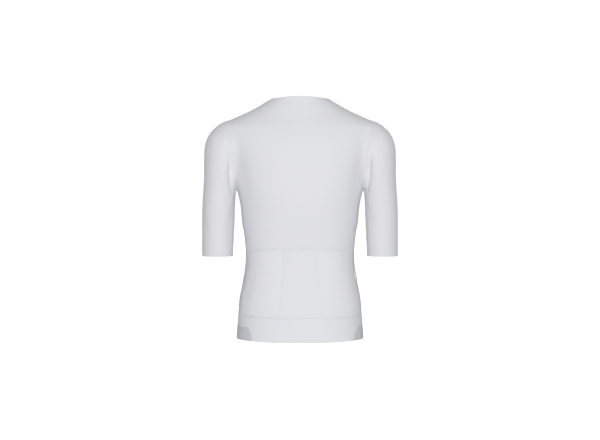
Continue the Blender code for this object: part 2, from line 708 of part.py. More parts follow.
pull = box("zip_pull", (-PULL_WIDTH / 2.0, -PULL_LENGTH, -PULL_THICKNESS / 2.0),
           (PULL_WIDTH / 2.0, PULL_BAR, PULL_THICKNESS / 2.0), garment, PULL_PLASTIC)
window = box("pull_window", (-WINDOW_HALF_WIDTH, -WINDOW_LENGTH, -PULL_THICKNESS),
             (WINDOW_HALF_WIDTH, -PULL_BAR, PULL_THICKNESS), helpers)
combine(pull, window, "DIFFERENCE")
for made in (slider, back_plate, post, bridge, eye):
    made.matrix_world = frame @ Matrix.Translation(made.location)
for made in (pull, window):
    made.data.transform(Matrix.Translation(made.location))
    made.matrix_world = frame @ Matrix.Translation(hinge * MM)

# A blank cloth tab, sewn into the rear side seam on the wearer's right.
tab_row = ABOVE_POCKET_STEPS
cell = (side_grid * MIRROR)[-tab_row - 3:-tab_row - 1, :2]
tab_across = np.array(TAB_ACROSS)[None, :, None]
tab_up = np.array(TAB_UP)[:, None, None]
low_edge = cell[0, 0] + (cell[0, 1] - cell[0, 0]) * tab_across
high_edge = cell[1, 0] + (cell[1, 1] - cell[1, 0]) * tab_across
tab_grid = low_edge + (high_edge - low_edge) * tab_up
cloth("side_tab", tab_grid, LABEL, lift=SEAM_GAP, thickness=TAB_CLOTH)
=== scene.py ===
"""The cycling jersey's visual model: knit panels, seams, pockets, zip and tab, around the frame."""

import logging
import math
from dataclasses import dataclass, field
from enum import Enum
from typing import Callable, Sequence

import bmesh
import bpy
import numpy as np
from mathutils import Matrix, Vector


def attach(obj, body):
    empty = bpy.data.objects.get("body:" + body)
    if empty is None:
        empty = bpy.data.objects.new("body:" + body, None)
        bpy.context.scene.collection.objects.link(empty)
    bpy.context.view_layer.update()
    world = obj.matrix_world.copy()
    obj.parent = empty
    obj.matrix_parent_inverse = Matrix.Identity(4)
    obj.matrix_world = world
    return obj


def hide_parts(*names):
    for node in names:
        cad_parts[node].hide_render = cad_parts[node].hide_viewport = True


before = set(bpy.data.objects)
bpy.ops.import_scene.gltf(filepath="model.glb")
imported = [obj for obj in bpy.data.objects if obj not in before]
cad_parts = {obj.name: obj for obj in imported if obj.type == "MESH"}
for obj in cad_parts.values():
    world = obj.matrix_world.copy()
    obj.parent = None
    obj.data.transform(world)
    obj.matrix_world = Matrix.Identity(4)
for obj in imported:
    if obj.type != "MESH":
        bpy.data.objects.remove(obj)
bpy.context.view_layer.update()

LOG = logging.getLogger("jersey")
MM = 0.001
BODY = "jersey"
PULL_BODY = "pull"
MIRROR = np.array((-1.0, 1.0, 1.0))
Grid = np.ndarray
Line = np.ndarray


# Sections and seams, in millimetres: the sizes the whole jersey is worked out from.

TORSO_COLUMNS = ("height", "half_width", "front", "back", "squareness")
TORSO_SECTIONS = (
    (-660.0, 169.0, -103.0, 108.0, 2.35),
    (-618.0, 168.0, -104.0, 107.0, 2.35),
    (-566.0, 164.0, -105.0, 103.0, 2.40),
    (-513.0, 160.0, -106.0, 97.0, 2.45),
    (-471.0, 152.0, -107.0, 90.0, 2.45),
    (-429.0, 145.5, -109.0, 85.0, 2.40),
    (-397.0, 144.0, -111.0, 84.0, 2.40),
    (-355.0, 147.0, -115.0, 87.0, 2.35),
    (-312.0, 153.5, -119.0, 94.0, 2.30),
    (-270.0, 157.5, -123.0, 101.0, 2.30),
    (-228.0, 166.0, -124.0, 106.0, 2.30),
    (-190.0, 174.0, -122.0, 108.0, 2.25),
    (-150.0, 184.0, -117.0, 107.0, 2.20),
    (-110.0, 196.0, -107.0, 102.0, 2.15),
    (-80.0, 205.0, -94.0, 93.0, 2.10),
    (-58.0, 203.0, -80.0, 84.0, 2.05),
    (-48.0, 192.0, -73.5, 79.0, 2.00),
    (-37.0, 171.0, -68.0, 74.0, 2.00),
    (-26.5, 147.5, -63.0, 70.0, 2.00),
    (-16.0, 126.0, -59.0, 66.5, 2.00),
    (-5.0, 106.0, -55.0, 63.0, 2.00),
    (5.0, 89.5, -52.0, 60.5, 2.00),
    (15.0, 74.0, -49.0, 58.5, 2.00),
    (30.0, 66.0, -46.0, 57.0, 2.00),
)
ARM_COLUMNS = ("height", "centre_x", "centre_y", "half_width", "half_depth")
ARM_SECTIONS = (
    (-440.0, 217.8, 10.0, 40.5, 45.0),
    (-402.0, 217.6, 9.0, 41.0, 46.0),
    (-350.0, 216.5, 8.0, 42.0, 47.0),
    (-300.0, 215.5, 7.0, 42.8, 48.5),
    (-250.0, 213.8, 5.0, 43.0, 50.5),
    (-228.0, 212.3, 4.0, 43.0, 52.0),
    (-190.0, 209.0, 3.0, 44.5, 54.5),
    (-150.0, 203.0, 3.0, 50.5, 57.0),
    (-130.0, 200.0, 3.0, 53.0, 58.0),
)
BLEND_COLUMNS = ("height", "width")
BLEND_SECTIONS = ((-260.0, 7.0), (-222.0, 8.0), (-180.0, 14.0), (-120.0, 25.0), (-60.0, 25.0))
SIDE_COLUMNS = ("height", "rear", "front")
SIDE_SEAMS = (
    (-618.0, 58.0, -34.0),
    (-584.0, 44.0, -33.0),
    (-556.0, 34.0, -32.0),
    (-480.0, 28.0, -30.0),
    (-394.0, 24.0, -30.0),
    (-300.0, 33.0, -36.0),
    (-215.0, 41.0, -42.0),
)

# Soft folds, in millimetres: the x, y and z of one end and of the other, half the width, and the rise,
# which is less than 0 for a trough. Left and right differ, as cloth does.
CREASES = (
    (171.0, 52.0, -232.0, 181.0, 62.0, -138.0, 7.4, -7.2),
    (152.0, 72.0, -240.0, 163.0, 68.0, -136.0, 17.0, -2.4),
    (196.0, 60.0, -222.0, 203.0, 62.0, -160.0, 9.0, 0.9),
    (160.0, 56.0, -232.0, 128.0, 96.0, -196.0, 11.0, -0.9),
    (-170.0, 52.0, -234.0, -182.0, 61.0, -134.0, 7.8, -7.6),
    (-153.0, 70.0, -236.0, -166.0, 68.0, -130.0, 18.0, -2.6),
    (-197.0, 60.0, -220.0, -204.0, 62.0, -158.0, 9.0, 1.0),
    (-158.0, 58.0, -236.0, -132.0, 94.0, -208.0, 10.0, -0.8),
    (172.0, -44.0, -224.0, 186.0, -60.0, -142.0, 9.0, -3.8),
    (158.0, -60.0, -236.0, 118.0, -108.0, -205.0, 12.0, -1.1),
    (150.0, -66.0, -262.0, 112.0, -112.0, -244.0, 10.0, 0.7),
    (-172.0, -44.0, -224.0, -187.0, -60.0, -138.0, 9.0, -4.2),
    (-156.0, -62.0, -240.0, -122.0, -106.0, -216.0, 11.0, -1.2),
    (188.0, 36.0, -296.0, 191.0, 38.0, -386.0, 6.0, -1.3),
    (176.0, 22.0, -262.0, 186.0, 40.0, -306.0, 6.0, -1.0),
    (246.0, 30.0, -300.0, 236.0, 44.0, -352.0, 8.0, -0.9),
    (-234.0, 44.0, -316.0, -250.0, 30.0, -328.0, 5.0, -0.9),
    (-178.0, 22.0, -262.0, -190.0, 44.0, -312.0, 7.0, -1.1),
    (-190.0, 40.0, -340.0, -196.0, 42.0, -392.0, 6.0, -0.8),
    (180.0, -26.0, -290.0, 196.0, -36.0, -350.0, 8.0, -1.2),
    (-180.0, -24.0, -280.0, -198.0, -36.0, -338.0, 8.0, -1.1),
    (142.0, 44.0, -388.0, 44.0, 80.0, -376.0, 6.0, -1.5),
    (126.0, 62.0, -429.0, 64.0, 80.0, -430.0, 5.0, -0.9),
    (66.0, 80.0, -416.0, 52.0, 82.0, -424.0, 4.0, 0.8),
    (124.0, 66.0, -444.0, 143.0, 56.0, -520.0, 7.0, -1.2),
    (150.0, 46.0, -490.0, 149.0, 50.0, -553.0, 3.4, 1.3),
    (-62.0, 80.0, -440.0, -110.0, 68.0, -438.0, 5.0, -0.9),
    (-72.0, 78.0, -424.0, -110.0, 68.0, -422.0, 6.0, 0.9),
    (-142.0, 42.0, -402.0, -112.0, 70.0, -388.0, 7.0, -1.2),
    (-142.0, 48.0, -452.0, -150.0, 50.0, -512.0, 6.0, -0.9),
    (153.0, 50.0, -557.0, 122.0, 80.0, -557.0, 3.0, -4.2),
    (146.0, 56.0, -552.0, 118.0, 80.0, -552.0, 2.6, 0.9),
    (-160.0, 44.0, -558.5, -104.0, 86.0, -556.5, 3.0, -3.8),
    (-146.0, 56.0, -553.0, -112.0, 82.0, -551.5, 2.8, 1.2),
    (142.0, -40.0, -386.0, 98.0, -96.0, -366.0, 10.0, -1.4),
    (-142.0, -42.0, -394.0, -104.0, -92.0, -380.0, 9.0, -1.2),
    (-150.0, -44.0, -420.0, -120.0, -84.0, -432.0, 9.0, 0.9),
    (138.0, -60.0, -470.0, 104.0, -92.0, -452.0, 8.0, -0.8),
    (60.0, -84.0, -92.0, 118.0, -70.0, -112.0, 12.0, -0.9),
    (-64.0, -86.0, -98.0, -112.0, -72.0, -120.0, 12.0, -0.8),
)


@dataclass(frozen=True)
class Cut:
    """The sizes and the places of the jersey's seams, in millimetres and degrees."""

    cloth: float = 1.2
    seam_gap: float = 0.3
    cuff: float = -402.0
    cuff_band: float = 18.0
    pocket_seam: float = -556.0
    pocket_mouth: float = -394.0
    pocket_half_width: float = 51.0
    pocket_fullness: float = 3.8
    pocket_curve: float = 0.75
    pocket_hem: float = 10.0
    pocket_cloth: float = 0.8
    pocket_sewn: float = 0.3
    mouth_arch: float = 14.0
    hem: float = -618.0
    gripper: float = 34.0
    front_hem_rise: float = 26.0
    back_hem_drop: float = 3.0
    neck_y: float = 6.0
    collar_back_top: float = 17.5
    collar_side_top: float = 13.0
    collar_front_drop: float = 55.0
    collar_back_depth: float = 21.0
    collar_side_depth: float = 13.0
    collar_front_depth: float = 18.0
    zip_edge: float = 8.0
    coil_half_width: float = 2.5
    armhole_centre: tuple[float, float, float] = (181.0, 4.0, -132.0)
    armhole_lean: float = 8.5
    armhole_scoop: float = 7.0
    shoulder_turn: float = -9.0
    rear_turn: float = 155.0
    front_turn: float = 205.0
    neck_turn: float = -14.0


def smooth(first: np.ndarray, last: np.ndarray, leaving: np.ndarray, arriving: np.ndarray,
           share: np.ndarray) -> np.ndarray:
    """Return the points at a share of the way along smooth curves.

    Args:
        first: where each curve starts.
        last: where it ends.
        leaving: its slope at its start.
        arriving: its slope at its end.
        share: how far along it is read, from 0 to 1.

    Returns:
        The points.
    """
    rest = 1.0 - share
    ends = first * rest**2 * (1.0 + 2.0 * share) + last * share**2 * (3.0 - 2.0 * share)
    return ends + share * rest * (leaving * rest - arriving * share)


class Profile:
    """The columns of a section table, read at any height on a smooth curve through its rows."""

    def __init__(self, columns: Sequence[str], rows: Sequence[Sequence[float]]) -> None:
        """Store the table and the slope of each column at its rows."""
        table = np.array(rows)
        self.height = table[:, 0]
        self.values = {name: table[:, place] for place, name in enumerate(columns)}
        self.slopes = {name: np.gradient(column, self.height) for name, column in self.values.items()}

    def read(self, name: str, height: np.ndarray) -> np.ndarray:
        """Return one column at the heights, held level past the ends of the table."""
        row = np.clip(np.searchsorted(self.height, height) - 1, 0, len(self.height) - 2)
        span = self.height[row + 1] - self.height[row]
        share = np.clip((height - self.height[row]) / span, 0.0, 1.0)
        value, slope = self.values[name], self.slopes[name]
        return smooth(value[row], value[row + 1], span * slope[row], span * slope[row + 1], share)


def points_of(*parts: float | np.ndarray) -> np.ndarray:
    """Return an array of points from x, y and z, any of which may be one number."""
    return np.stack(np.broadcast_arrays(*parts), axis=-1).astype(float)


def unit(vectors: np.ndarray) -> np.ndarray:
    """Return the vectors at length 1."""
    return vectors / np.maximum(np.linalg.norm(vectors, axis=-1, keepdims=True), 1e-9)


def shares(line: Line) -> np.ndarray:
    """Return how far along a line each of its points lies, from 0 to 1."""
    length = np.concatenate(([0.0], np.cumsum(np.linalg.norm(np.diff(line, axis=0), axis=1))))
    return length / length[-1]


def finer(grid: Grid, steps: int, axis: int = 0) -> Grid:
    """Return a grid with each gap of an axis cut into steps, on a smooth curve."""
    moved = np.moveaxis(grid, axis, 0)
    slope = np.gradient(moved, axis=0)
    share = (np.arange(steps) / steps).reshape(-1, *([1] * (grid.ndim - 1)))
    parts = [smooth(moved[place], moved[place + 1], slope[place], slope[place + 1], share)
             for place in range(len(moved) - 1)]
    return np.moveaxis(np.concatenate((*parts, moved[-1:])), 0, axis)


def both_sides(line: Line) -> tuple[Line, Line]:
    """Return a line on the wearer's left, and its mirror image on the right."""
    return line, line * MIRROR


def read_line(line: Line, along: np.ndarray, place: np.ndarray) -> Line:
    """Return the points of a line at the places, where its own points lie at along."""
    return np.stack([np.interp(place, along, line[:, axis]) for axis in range(3)], axis=-1)


def respaced(line: Line, count: int, ease: float = 1.0) -> Line:
    """Return count points along a line, closer together at its start as ease grows."""
    return read_line(line, shares(line), np.linspace(0.0, 1.0, count) ** ease)


class GarmentForm:
    """The smooth shape of the filled jersey: a torso of oval sections blended with two arms."""

    CROWN_HEIGHT = -130.0
    CROWN_RISE = 74.0
    NUDGE = 0.05
    FLATTEST = 0.001
    SETTLINGS = 8
    CLOSE = 0.004
    STRIDES = 400
    STRIDE = (0.8, 12.0)
    HALVINGS = 20

    def __init__(self) -> None:
        """Read the section tables."""
        self.torso = Profile(TORSO_COLUMNS, TORSO_SECTIONS)
        self.arm = Profile(ARM_COLUMNS, ARM_SECTIONS)
        self.blend = Profile(BLEND_COLUMNS, BLEND_SECTIONS)

    def gradient(self, reach: Callable[[np.ndarray], np.ndarray], points: np.ndarray) -> np.ndarray:
        """Return the slope of a field at the points."""
        steps = np.eye(3) * self.NUDGE
        slopes = [(reach(points + step) - reach(points - step)) / (2.0 * self.NUDGE) for step in steps]
        return np.stack(slopes, axis=-1)

    def torso_reach(self, points: np.ndarray) -> np.ndarray:
        """Return 1 on the torso, less inside it."""
        height = points[:, 2]
        front, back = self.torso.read("front", height), self.torso.read("back", height)
        across = np.abs(points[:, 0]) / self.torso.read("half_width", height)
        along = np.abs(points[:, 1] - (front + back) / 2.0) / ((back - front) / 2.0)
        power = self.torso.read("squareness", height)
        return (across**power + along**power) ** (1.0 / power)

    def arm_reach(self, points: np.ndarray) -> np.ndarray:
        """Return 1 on the arms, less inside them, with a round crown at each shoulder."""
        height = points[:, 2]
        arm = self.arm
        across = (np.abs(points[:, 0]) - arm.read("centre_x", height)) / arm.read("half_width", height)
        along = (points[:, 1] - arm.read("centre_y", height)) / arm.read("half_depth", height)
        above = np.clip((height - self.CROWN_HEIGHT) / self.CROWN_RISE, 0.0, None)
        return np.sqrt(across**2 + along**2 + above**2)

    def distance(self, points: np.ndarray) -> np.ndarray:
        """Return about how far the points lie outside the form."""
        parts = []
        for reach in (self.torso_reach, self.arm_reach):
            steepness = np.maximum(np.linalg.norm(self.gradient(reach, points), axis=1), self.FLATTEST)
            parts.append((reach(points) - 1.0) / steepness)
        torso, arm = parts
        width = self.blend.read("width", points[:, 2])
        share = np.clip(0.5 + 0.5 * (arm - torso) / width, 0.0, 1.0)
        return arm + (torso - arm) * share - width * share * (1.0 - share)

    def outward(self, points: np.ndarray) -> np.ndarray:
        """Return the unit direction out of the form at each of the points, in any layout."""
        slope = self.gradient(self.distance, points.reshape(-1, 3))
        return unit(slope).reshape(points.shape)

    def settle(self, points: np.ndarray) -> np.ndarray:
        """Return the points moved onto the form."""
        flat = points.reshape(-1, 3).copy()
        for _ in range(self.SETTLINGS):
            reach = self.distance(flat)
            if np.abs(reach).max() < self.CLOSE:
                break
            slope = self.gradient(self.distance, flat)
            flat -= slope * (reach / np.sum(slope**2, axis=1))[:, None]
        return flat.reshape(points.shape)

    def leave(self, origins: np.ndarray, directions: np.ndarray) -> Line:
        """Return where rays that start inside the form first leave it.

        Args:
            origins: points inside the form.
            directions: one direction for each, or one for all.

        Returns:
            The points on the form.
        """
        origins, directions = np.broadcast_arrays(np.atleast_2d(origins), np.atleast_2d(directions))
        directions = unit(directions)
        inner, outer = np.zeros(len(origins)), np.zeros(len(origins))
        for _ in range(self.STRIDES):
            reach = self.distance(origins + directions * outer[:, None])
            going = reach <= 0.0
            if not going.any():
                break
            inner = np.where(going, outer, inner)
            outer = np.where(going, outer + np.clip(-0.5 * reach, *self.STRIDE), outer)
        for _ in range(self.HALVINGS):
            middle = (inner + outer) / 2.0
            beyond = self.distance(origins + directions * middle[:, None]) > 0.0
            inner, outer = np.where(beyond, inner, middle), np.where(beyond, middle, outer)
        return origins + directions * outer[:, None]


class Creases:
    """The soft troughs and ridges of the cloth."""

    END = 0.06
    FULLNESS = 0.7

    def __init__(self, form: GarmentForm) -> None:
        """Read the table of folds, and lay their ends on the form."""
        table = np.array(CREASES)
        self.starts, self.ends = form.settle(table[:, 0:3]), form.settle(table[:, 3:6])
        self.widths, self.rises = table[:, 6], table[:, 7]

    def rise(self, points: np.ndarray) -> np.ndarray:
        """Return how far the cloth stands out at the points, in millimetres."""
        flat = points.reshape(-1, 3)
        total = np.zeros(len(flat))
        for start, end, width, rise in zip(self.starts, self.ends, self.widths, self.rises):
            run = end - start
            along = np.clip((flat - start) @ run / (run @ run), 0.0, 1.0)
            near = np.linalg.norm(flat - start - along[:, None] * run, axis=1)
            fade = np.sin(math.pi * np.clip(along, self.END, 1.0 - self.END)) ** self.FULLNESS
            total += rise * fade * np.exp(-((near / width) ** 2))
        return total.reshape(points.shape[:-1])


@dataclass
class Pattern:
    """The seam lines and the panels between them, as fine grids on the form."""

    form: GarmentForm
    cut: Cut
    rows: int = 5
    across: int = 6
    armhole_rows: int = 10
    underarm_rows: int = 4
    upper_rows: int = 5
    pocket_rows: int = 5
    front_rows: int = 11
    shoulder_rows: int = 4
    sleeve_rows: int = 14
    pocket_columns: int = 6
    neck_front: int = 9
    neck_back: int = 18
    crown_turn: float = 75.0
    crown_steps: int = 10
    sleeve_steps: int = 12
    crown_foot: float = 30.0
    underarm_foot: float = 12.0
    inner_ease: float = 1.5
    zip_line_y: float = -10.0
    front_hem_curve: float = 1.6
    front_hem_depth: float = 75.0
    beside_zip: float = 0.5
    inside_share: float = 0.6
    inside_x: float = 100.0
    shoulder_drop: float = 60.0

    def __post_init__(self) -> None:
        """Lay every seam that more than one panel shares."""
        cut = self.cut
        self.sides = Profile(SIDE_COLUMNS, SIDE_SEAMS)
        self.gripper_top = cut.hem + cut.gripper
        loop = self.armhole()
        self.rear_place = self.armhole_rows * self.rows
        self.front_place = self.rear_place + self.underarm_rows * self.rows
        self.pocket_foot = (self.upper_rows + self.pocket_rows) * self.rows
        self.band_foot = self.pocket_foot + self.rows
        self.loop = loop
        self.back_arc = loop[:self.rear_place + 1]
        self.side_arc = loop[self.rear_place:self.front_place + 1]
        self.front_arc = np.vstack((loop[self.front_place:], loop[:1]))
        above = np.linspace(self.back_arc[-1, 2], cut.pocket_mouth, self.upper_rows * self.rows + 1)[1:]
        along = np.linspace(cut.pocket_mouth, cut.pocket_seam, self.pocket_rows * self.rows + 1)[1:]
        band = np.linspace(cut.pocket_seam, self.gripper_top, self.rows + 1)[1:]
        grip = np.linspace(self.gripper_top, cut.hem, self.rows + 1)[1:]
        self.rear_seam = self.side_seam("rear", self.back_arc[-1], np.concatenate((above, along, band, grip)))
        levels = np.linspace(self.front_arc[0, 2], self.gripper_top, self.front_rows * self.rows + 1)[1:]
        self.front_seam = self.side_seam("front", self.front_arc[0], levels)
        self.neck_left = self.neck_front * self.across
        self.neck_right = self.neck_left + self.neck_back * self.across
        self.neck = self.neck_ring(0.0)
        self.shoulder = self.shoulder_seam(loop[0], self.neck[self.neck_left])

    def armhole(self) -> Line:
        """Return the armhole loop, from the shoulder seam over the back and under the arm."""
        cut = self.cut
        stops = (cut.shoulder_turn, cut.rear_turn, cut.front_turn, cut.shoulder_turn + 360.0)
        steps = [count * self.rows for count in (self.armhole_rows, self.underarm_rows, self.armhole_rows)]
        arcs = [np.linspace(stops[i], stops[i + 1], steps[i] + 1)[:-1] for i in range(3)]
        turn = np.radians(np.concatenate(arcs))
        lean = math.radians(cut.armhole_lean)
        up, back = np.cos(turn), np.sin(turn)
        origins = np.array(cut.armhole_centre) - points_of(cut.armhole_scoop * back**2, 0.0, 0.0)
        return self.form.leave(origins, points_of(up * math.sin(lean), back, up * math.cos(lean)))

    def side_seam(self, name: str, start: np.ndarray, heights: np.ndarray) -> Line:
        """Return a side panel's seam, from its start on the armhole down the heights."""
        across = self.sides.read(name, heights)
        run = (heights - start[2]) / (self.cut.hem - start[2] if name == "rear" else heights[-1] - start[2])
        across += (start[1] - self.sides.read(name, start[2])) * np.clip(1.0 - 2.0 * run, 0.0, 1.0)
        inside = self.inside_share * self.form.torso.read("half_width", heights)
        rays = self.form.leave(points_of(inside, across, heights), points_of(1.0, 0.0, 0.0))
        return np.vstack((start, rays))

    def collar_height(self, azimuth: float, share: float) -> float:
        """Return the height of the collar's seam, at share 0, up to its top edge, at share 1."""
        cut, turn = self.cut, math.sin(azimuth)
        back, front = max(turn, 0.0) ** 2, min(turn, 0.0) ** 2
        top = cut.collar_side_top + (cut.collar_back_top - cut.collar_side_top) * back
        depth = cut.collar_side_depth + (cut.collar_back_depth - cut.collar_side_depth) * back
        depth += (cut.collar_front_depth - cut.collar_side_depth) * front
        return top - cut.collar_front_drop * front - (1.0 - share) * depth

    def front_line(self, heights: Sequence[float], x: float) -> Line:
        """Return points down the front at the heights, at one x."""
        return self.form.leave(points_of(x, self.zip_line_y, np.array(heights)), points_of(0.0, -1.0, 0.0))

    def neck_ring(self, share: float) -> Line:
        """Return a ring of the collar, from the zip's edge round the back to its other edge."""
        cut, side, front = self.cut, math.radians(self.cut.neck_turn), -0.5 * math.pi
        half = np.linspace(side, front, self.neck_left + 1)[:-1]
        back = np.linspace(side, math.pi - side, self.neck_right - self.neck_left + 1)
        heights = np.array([self.collar_height(turn, share) for turn in half])
        rays = points_of(np.cos(half), np.sin(half), 0.0)
        left = self.form.leave(points_of(0.0, cut.neck_y, heights), rays)
        left = left[left[:, 0] > cut.zip_edge + self.beside_zip]
        left = np.vstack((left, self.front_line([self.collar_height(front, share)], cut.zip_edge)))
        left = np.vstack((left[:1], respaced(left, self.neck_left + 1)[1:]))
        heights = np.array([self.collar_height(turn, share) for turn in back])
        rays = points_of(np.cos(back), np.sin(back), 0.0)
        over = self.form.leave(points_of(0.0, cut.neck_y, heights), rays)
        return np.vstack((left[:0:-1], over, (left * MIRROR)[1:]))

    def shoulder_seam(self, tip: np.ndarray, neck: np.ndarray) -> Line:
        """Return the seam from the armhole to the neck."""
        share = np.linspace(0.0, 1.0, self.shoulder_rows * self.rows + 1)[1:-1, None]
        flat = tip + (neck - tip) * share
        inside = points_of(flat[:, 0], flat[:, 1], flat[:, 2] - self.shoulder_drop)
        return np.vstack((tip, self.form.leave(inside, points_of(0.0, 0.0, 1.0)), neck))

    def beneath(self, line: Line, heights: np.ndarray) -> Line:
        """Return the form's points at the heights, each facing the same way as its line's point."""
        torso = self.form.torso
        middle = (torso.read("front", heights) + torso.read("back", heights)) / 2.0
        rays = points_of(line[:, 0], line[:, 1] - middle, 0.0)
        return self.form.leave(points_of(0.0, middle, heights), rays)

    def panel(self, bottom: Line, top: Line, start: Line, end: Line, arch: np.ndarray | None = None,
              steps: int | None = None) -> Grid:
        """Return a fine grid on the form between four lines.

        A coarse grid is laid first, and then made finer, because it stays even at the corners.

        Args:
            bottom: the lower edge.
            top: the upper edge, with as many points.
            start: the edge from bottom to top where the others start.
            end: the edge opposite, with as many points as start.
            arch: how far the middle of each coarse row stands above its ends.
            steps: how many fine columns a coarse one holds, if not the usual number.

        Returns:
            The grid, rows first.
        """
        steps = steps or self.across
        coarse = self.coarse(bottom[::steps], top[::steps], start[::self.rows], end[::self.rows], arch)
        grid = finer(finer(coarse, self.rows), steps, 1)
        rise = np.clip(1.0 - np.arange(len(start)) / self.rows, 0.0, 1.0)[:, None, None]
        run = np.clip(1.0 - np.arange(len(bottom)) / steps, 0.0, 1.0)[None, :, None]
        grid = grid + rise * (bottom - grid[0])[None] + rise[::-1] * (top - grid[-1])[None]
        grid = grid + run * (start - grid[:, 0])[:, None] + run[:, ::-1] * (end - grid[:, -1])[:, None]
        grid[1:-1, 1:-1] = self.form.settle(grid[1:-1, 1:-1])
        grid[0], grid[-1], grid[:, 0], grid[:, -1] = bottom, top, start, end
        return grid

    def coarse(self, bottom: Line, top: Line, start: Line, end: Line, arch: np.ndarray | None) -> Grid:
        """Return a coarse grid on the form between four lines."""
        across = ((shares(bottom) + shares(top)) / 2.0)[None, :, None]
        up = ((shares(start) + shares(end)) / 2.0)[:, None, None]
        grid = bottom[None] * (1.0 - up) + top[None] * up
        grid = grid + start[:, None] * (1.0 - across) + end[:, None] * across
        lower = bottom[0] * (1.0 - across) + bottom[-1] * across
        upper = top[0] * (1.0 - across) + top[-1] * across
        grid = grid - (lower * (1.0 - up) + upper * up)
        if arch is not None:
            grid[..., 2] += arch[:, None] * np.sin(math.pi * across[..., 0])
        grid[1:-1, 1:-1] = self.form.settle(grid[1:-1, 1:-1])
        return grid

    def back(self) -> Grid:
        """Return the back, from the hem band's seam to the shoulders and the neck."""
        cut, form = self.cut, self.form
        end, count = self.rear_seam[self.pocket_foot], self.pocket_columns * self.across
        middle_x = np.linspace(-cut.pocket_half_width, cut.pocket_half_width, count + 1)
        outer_x = np.linspace(cut.pocket_half_width, end[0], count + 1)[1:-1]
        half_x = np.concatenate((middle_x, outer_x))[count // 2:]
        half = form.leave(points_of(half_x, 0.0, cut.pocket_seam), points_of(0.0, 1.0, 0.0))
        half = np.vstack((half, end))
        self.back_bottom = np.vstack((half[::-1], (half * MIRROR)[1:]))
        side = np.vstack((self.rear_seam[self.pocket_foot::-1], self.back_arc[-2::-1], self.shoulder[1:]))
        neck = self.neck[self.neck_left:self.neck_right + 1]
        count = len(side) // self.rows + 1
        knots = (0, self.pocket_rows, self.pocket_rows + self.upper_rows, count - 1)
        arch = np.interp(np.arange(count), knots, (0.0, cut.mouth_arch, 0.0, 0.0))
        return self.panel(self.back_bottom, neck, side, side * MIRROR, arch)

    def side(self) -> Grid:
        """Return the left side panel, from the gripper to the armhole."""
        rear = self.rear_seam[:self.band_foot + 1]
        level = np.linspace(rear[-1, 1], self.front_seam[-1, 1], self.underarm_rows * self.rows + 1)[1:-1]
        bottom = self.form.leave(points_of(self.inside_x, level, self.gripper_top), points_of(1.0, 0.0, 0.0))
        self.side_bottom = np.vstack((rear[-1], bottom, self.front_seam[-1]))
        return self.panel(self.side_bottom, self.side_arc, rear[::-1], self.front_seam[::-1], steps=self.rows)

    def front(self) -> Grid:
        """Return the left front, from the gripper to the shoulder and the neck."""
        cut, seam, count = self.cut, self.front_seam[-1], self.neck_left + 1
        rise = np.linspace(0.0, 1.0, count) ** self.front_hem_curve * cut.front_hem_rise
        turn = np.radians(np.linspace(0.0, 90.0, count))
        facing = points_of(np.cos(turn) * seam[0], seam[1] - self.front_hem_depth * np.sin(turn), 0.0)[:-1]
        bottom = self.beneath(facing, self.gripper_top + rise[:-1])
        bottom = bottom[bottom[:, 0] > cut.zip_edge + self.beside_zip]
        bottom[0] = seam
        edge = self.front_line([self.gripper_top + rise[-1]], cut.zip_edge)
        self.front_bottom = respaced(np.vstack((bottom, edge)), count)
        neck = self.neck[:self.neck_left + 1][::-1]
        side = np.vstack((self.front_seam[::-1], self.front_arc[1:], self.shoulder[1:]))
        levels = np.linspace(edge[0, 2], neck[-1, 2], len(side))
        self.zip_side = np.vstack((edge, self.front_line(levels[1:-1], cut.zip_edge), neck[-1]))
        return self.panel(self.front_bottom, neck, side, self.zip_side)

    def hem_band(self) -> Grid:
        """Return the band across the back; it needs the back first."""
        side = self.rear_seam[self.pocket_foot:]
        half_x = np.linspace(side[-1, 0], 0.0, len(self.back_bottom) // 2 + 1)[1:]
        drop = self.cut.back_hem_drop * (1.0 - (half_x / side[-1, 0]) ** 2)
        half = self.form.leave(points_of(half_x, 0.0, self.cut.hem - drop), points_of(0.0, 1.0, 0.0))
        half = np.vstack((side[-1], half))
        hem = np.vstack((half, (half * MIRROR)[-2::-1]))
        return self.panel(hem, self.back_bottom, side[::-1], side[::-1] * MIRROR)

    def gripper(self) -> Grid:
        """Return the left gripper, round the side and the front; it needs both first."""
        top = np.vstack((self.side_bottom, self.front_bottom[1:]))
        rear = self.rear_seam[self.band_foot:]
        rows = []
        for step in range(self.rows + 1):
            row = self.beneath(top, top[:, 2] - self.cut.gripper * (1.0 - step / self.rows))
            row[-1:] = self.front_line(row[-1:, 2], self.cut.zip_edge)
            start = rear[self.rows - step]
            fade = np.clip(1.0 - np.arange(len(row)) / (2.0 * self.rows), 0.0, 1.0)[:, None]
            rows.append(row + (start - row[0]) * fade)
        grid = self.form.settle(np.stack(rows))
        grid[:, 0] = rear[::-1]
        self.gripper_edge = grid[:, -1]
        return grid

    def collar(self) -> Grid:
        """Return the collar."""
        return np.stack([self.neck_ring(share) for share in np.linspace(0.0, 1.0, 2 * self.rows + 1)])

    def down_arm(self, top: float, side: float) -> Line:
        """Return a line down the arm from a height to the cuff, on its outer side at 1 or its inner at -1."""
        levels = np.linspace(top, self.cut.cuff, self.sleeve_steps)
        arm = self.form.arm
        centre = points_of(arm.read("centre_x", levels), arm.read("centre_y", levels), levels)
        return self.form.leave(centre, points_of(side, 0.0, 0.0))

